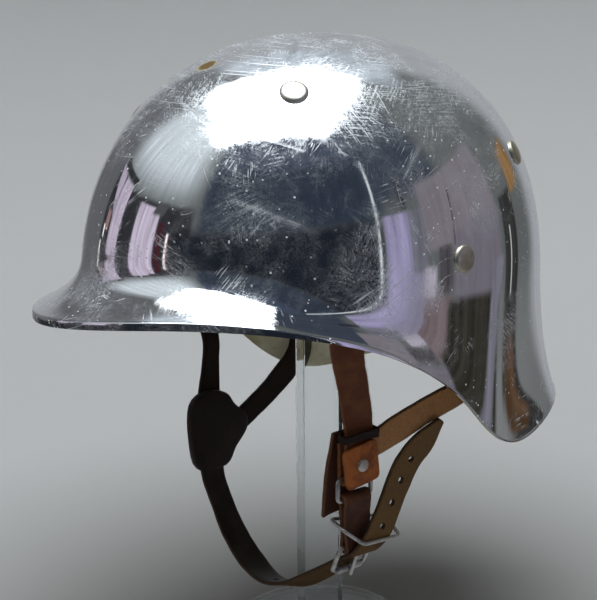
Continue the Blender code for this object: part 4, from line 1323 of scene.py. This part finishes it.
KEEPER = (
    (65.9, -22.5, 88.0), (65.9, 1.5, 86.5), (54.0, 1.5, 94.0), (52.4, -33.6, 100.0), (63.4, -33.6, 97.5))
KEEPER_R = 0.0010
PRONG_R = 0.0010
ROLLER_R = 0.0023
reach = PRONG_R + GAP
towards_roller = BUCKLE_ROLLER - BUCKLE_HINGE
prong_start = BUCKLE_HINGE + BUCKLE_OUT * (WIRE_R + reach) - towards_roller * 0.08
prong_end = BUCKLE_ROLLER + BUCKLE_OUT * (ROLLER_R + reach) + towards_roller * 0.12

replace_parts(wire("ring_wire", bar_pair(RING_TOP, RING_BOTTOM), WIRE_R), "left_ring")
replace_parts(wire("buckle_wire", bar_pair(BUCKLE_HINGE, BUCKLE_ROLLER), WIRE_R), "buckle_frame")
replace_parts(wire("keeper_bent_wire", [Vector(corner) * MM for corner in KEEPER], KEEPER_R), "keeper_wire")
prong = wire("prong_wire", (prong_start, prong_start.lerp(prong_end, 0.5), prong_end), PRONG_R, closed=False)
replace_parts(prong, "buckle_prong")

# %% Turn the roller and the tab's rivet
half_roller = 0.008
eased = 0.0003
roller_profile = [
    (ROLLER_R - eased, half_roller), (ROLLER_R, half_roller - eased), (ROLLER_R, -half_roller + eased),
    (ROLLER_R - eased, -half_roller), (WIRE_R + GAP, -half_roller), (WIRE_R + GAP, half_roller),
    (ROLLER_R - eased, half_roller)]
roller_mesh = lathe("roller_sleeve", roller_profile, 32)
roller_mesh.transform(upright_at(BUCKLE_ROLLER, Vector((0, 1, 0))))
roller = add("roller_sleeve", roller_mesh, steel_wire.material)
tab_rivet_mesh = lathe("tab_rivet_head", head_profile(0.0034, 0.0012), 32)
tab_face = TAB_CENTRE * MM + Vector((TAB_T / 2 * MM * CUSHION_TOP, 0, 0))
tab_rivet_mesh.transform(upright_at(tab_face, Vector((1, 0, 0))))
tab_rivet = add("tab_rivet_head", tab_rivet_mesh, nickel.material)
for piece, node in ((roller, "buckle_roller"), (tab_rivet, "left_tab_rivet")):
    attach(piece, "root")
    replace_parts(piece, node)
print("roller and tab rivet are turned")

# %% [markdown]
# ## Fuzzy edges
# Cut edges of old leather shed short fibres. Hair particles could make them, but what is exported has to be
# plain mesh. So a Geometry Nodes tree scatters small tapered hairs on the faces whose attribute says that
# they belong to an edge. The seed is fixed, so each run gives the same fuzz.

# %% Scatter fibres on the edges
FIBRES = {"Density": 2600000.0, "Length": 0.0011, "Seed": 7}


HAIR_R = 0.035
HAIR_SECTIONS = ((0, 1.0, 0), (0.5, 0.7, 0.12), (1.0, 0.15, 0.4))        # height, share of the radius, bend


def hair_mesh():
    """One tapered hair of length 1, three-sided and bent a little."""
    points, faces = [], []
    for height_here, thick_here, bend_here in HAIR_SECTIONS:
        for j in range(3):
            a, thick_r = 2 * math.pi * j / 3, HAIR_R * thick_here
            points.append((thick_r * math.cos(a) + bend_here, thick_r * math.sin(a), height_here))
    for k in range(2):
        for j in range(3):
            faces.append((3 * k + j, 3 * k + (j + 1) % 3, 3 * k + 3 + (j + 1) % 3, 3 * k + 3 + j))
    faces += [(0, 2, 1), (6, 7, 8)]
    mesh = bpy.data.meshes.new("hair")
    mesh.from_pydata(points, [], faces)
    return mesh


hair_finish = Finish("leather_fibre", Roughness=0.8)
hair_tone = hair_finish.noise(hair_finish.place, 800.0, 1.0)
hair_finish.feed(Base_Color=hair_finish.mix(hair_tone, (0.16, 0.065, 0.030), (0.05, 0.022, 0.012)))
hair = add("hair", hair_mesh())
hair_inputs = {**FIBRES, "Hair": hair, "Finish": hair_finish.material}
fuzz, strap_in, given = new_tree("edge_fuzz", hair_inputs)
on_edge = maths("ABSOLUTE", carried(fuzz, "across")) > 0.97
scatter = fuzz.node("GeometryNodeDistributePointsOnFaces", {"distribute_method": 'RANDOM'}, {
    "Mesh": strap_in, "Selection": on_edge, "Density": given["Density"], "Seed": given["Seed"]}, "Points")
hair_geometry = mesh_of(fuzz, given["Hair"])
turn_noise = fuzz.node("FunctionNodeRandomValue", {"data_type": 'FLOAT_VECTOR'}, {
    "Min": (-0.8, -0.8, -3.1), "Max": (0.8, 0.8, 3.1), "Seed": given["Seed"]})
turned_hair = fuzz.node("FunctionNodeRotateRotation", {"rotation_space": 'LOCAL'}, {
    "Rotation": twin(scatter, "Rotation"), "Rotate By": turn_noise})
size_noise = fuzz.node("FunctionNodeRandomValue", {"data_type": 'FLOAT'}, {
    2: 0.35, 3: 1.0, "Seed": given["Seed"]}, 1)
hairs = fuzz.node("GeometryNodeInstanceOnPoints", None, {
    "Points": scatter, "Instance": hair_geometry, "Rotation": turned_hair,
    "Scale": size_noise * given["Length"]})
hairs = fuzz.node("GeometryNodeRealizeInstances", None, {"Geometry": hairs})
hairs = fuzz.node("GeometryNodeSetMaterial", None, {"Geometry": hairs, "Material": given["Finish"]})
close_tree(fuzz, hairs)
for piece in (left_front, left_rear, right_rear, flap):
    made = run_tree(piece.name + "_fuzz", piece.data.copy(), fuzz, hair_inputs)
    print(piece.name, "fibres", len(made.polygons) // 8)
    fibres = add(piece.name + "_fuzz", made)
    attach(fibres, "root")
bpy.data.objects.remove(hair)

# %% [markdown]
# ## The clear stand
# The stand is a round base, a flat upright bar and a round top, sawn from clear acrylic sheet. Clear plastic
# is seen by its edges, so each edge has a narrow bevel that catches the light. The faces carry faint smears.

# %% Make the stand
acrylic = Finish("clear_acrylic", Metallic=0.0, IOR=1.49, Transmission_Weight=1.0)
smear_of = acrylic.noise(acrylic.stretched(acrylic.place, (40.0, 40.0, 12.0)), 1.0, 3.0)
acrylic.feed(
    Base_Color=acrylic.mix(ramp(smear_of, 0.4, 0.8), (0.93, 0.96, 0.96), (0.88, 0.92, 0.92)),
    Roughness=clamped(0.02 + ramp(smear_of, 0.5, 0.8) * 0.10))


def copy_of(node):
    """A clean copy of a CAD node's mesh: its loose triangles are joined into a closed skin."""
    work = bmesh.new()
    work.from_mesh(nodes[node].data)
    work.transform(nodes[node].matrix_world)
    bmesh.ops.remove_doubles(work, verts=work.verts, dist=1e-6)
    bmesh.ops.dissolve_limit(work, angle_limit=math.radians(0.5), verts=work.verts, edges=work.edges)
    mesh = bpy.data.meshes.new(node + "_clear")
    work.to_mesh(mesh)
    work.free()
    return mesh


BASE_R, BASE_T = 0.050, 0.008
base_profile = [
    (0.0, BASE_T), (BASE_R - 0.0010, BASE_T), (BASE_R - 0.0003, BASE_T - 0.0003), (BASE_R, BASE_T - 0.0010),
    (BASE_R, 0.0005), (BASE_R - 0.0005, 0.0), (0.0, 0.0)]
stand_base = add("stand_base_clear", lathe("stand_base_clear", base_profile, 128), acrylic.material)
for node_name in ("stand_bar", "stand_top"):
    made = add(node_name + "_clear", copy_of(node_name), acrylic.material)
    edge_step = made.modifiers.new("edge", 'BEVEL')
    edge_step.width = 0.0005
    edge_step.segments = 2
    edge_step.limit_method = 'ANGLE'
    edge_step.angle_limit = math.radians(60)
    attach(made, "root")
    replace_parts(made, node_name)
for polygon in stand_base.data.polygons:
    polygon.use_smooth = False
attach(stand_base, "root")
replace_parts(stand_base, "stand_base")
print("stand is clear")

# %% [markdown]
# ## Small CAD pieces that stay
# The studs that hold the straps inside are right as they are. They only take the nickel finish.

# %% Finish the studs
for node_name, node in nodes.items():
    if node_name.endswith("_stud"):
        node.data.materials.clear()
        node.data.materials.append(nickel.material)

# %% [markdown]
# ## Light
# One large soft panel above and in front gives the leather its shape. It is hidden from mirrors, because the
# painted room already has a bright panel overhead.

# %% Hang the soft panel
panel_data = bpy.data.lights.new("soft_panel", 'AREA')
panel_data.shape = 'RECTANGLE'
panel_data.size, panel_data.size_y = 0.9, 0.7
panel_data.energy = 1.6
soft_panel = bpy.data.objects.new("soft_panel", panel_data)
bpy.context.scene.collection.objects.link(soft_panel)
soft_panel.location = (0.55, -0.75, 0.95)
soft_panel.rotation_euler = (Vector((0, 0, 0.15)) - soft_panel.location).to_track_quat('-Z', 'Y').to_euler()
soft_panel.visible_glossy = False
print("light energy", panel_data.energy)
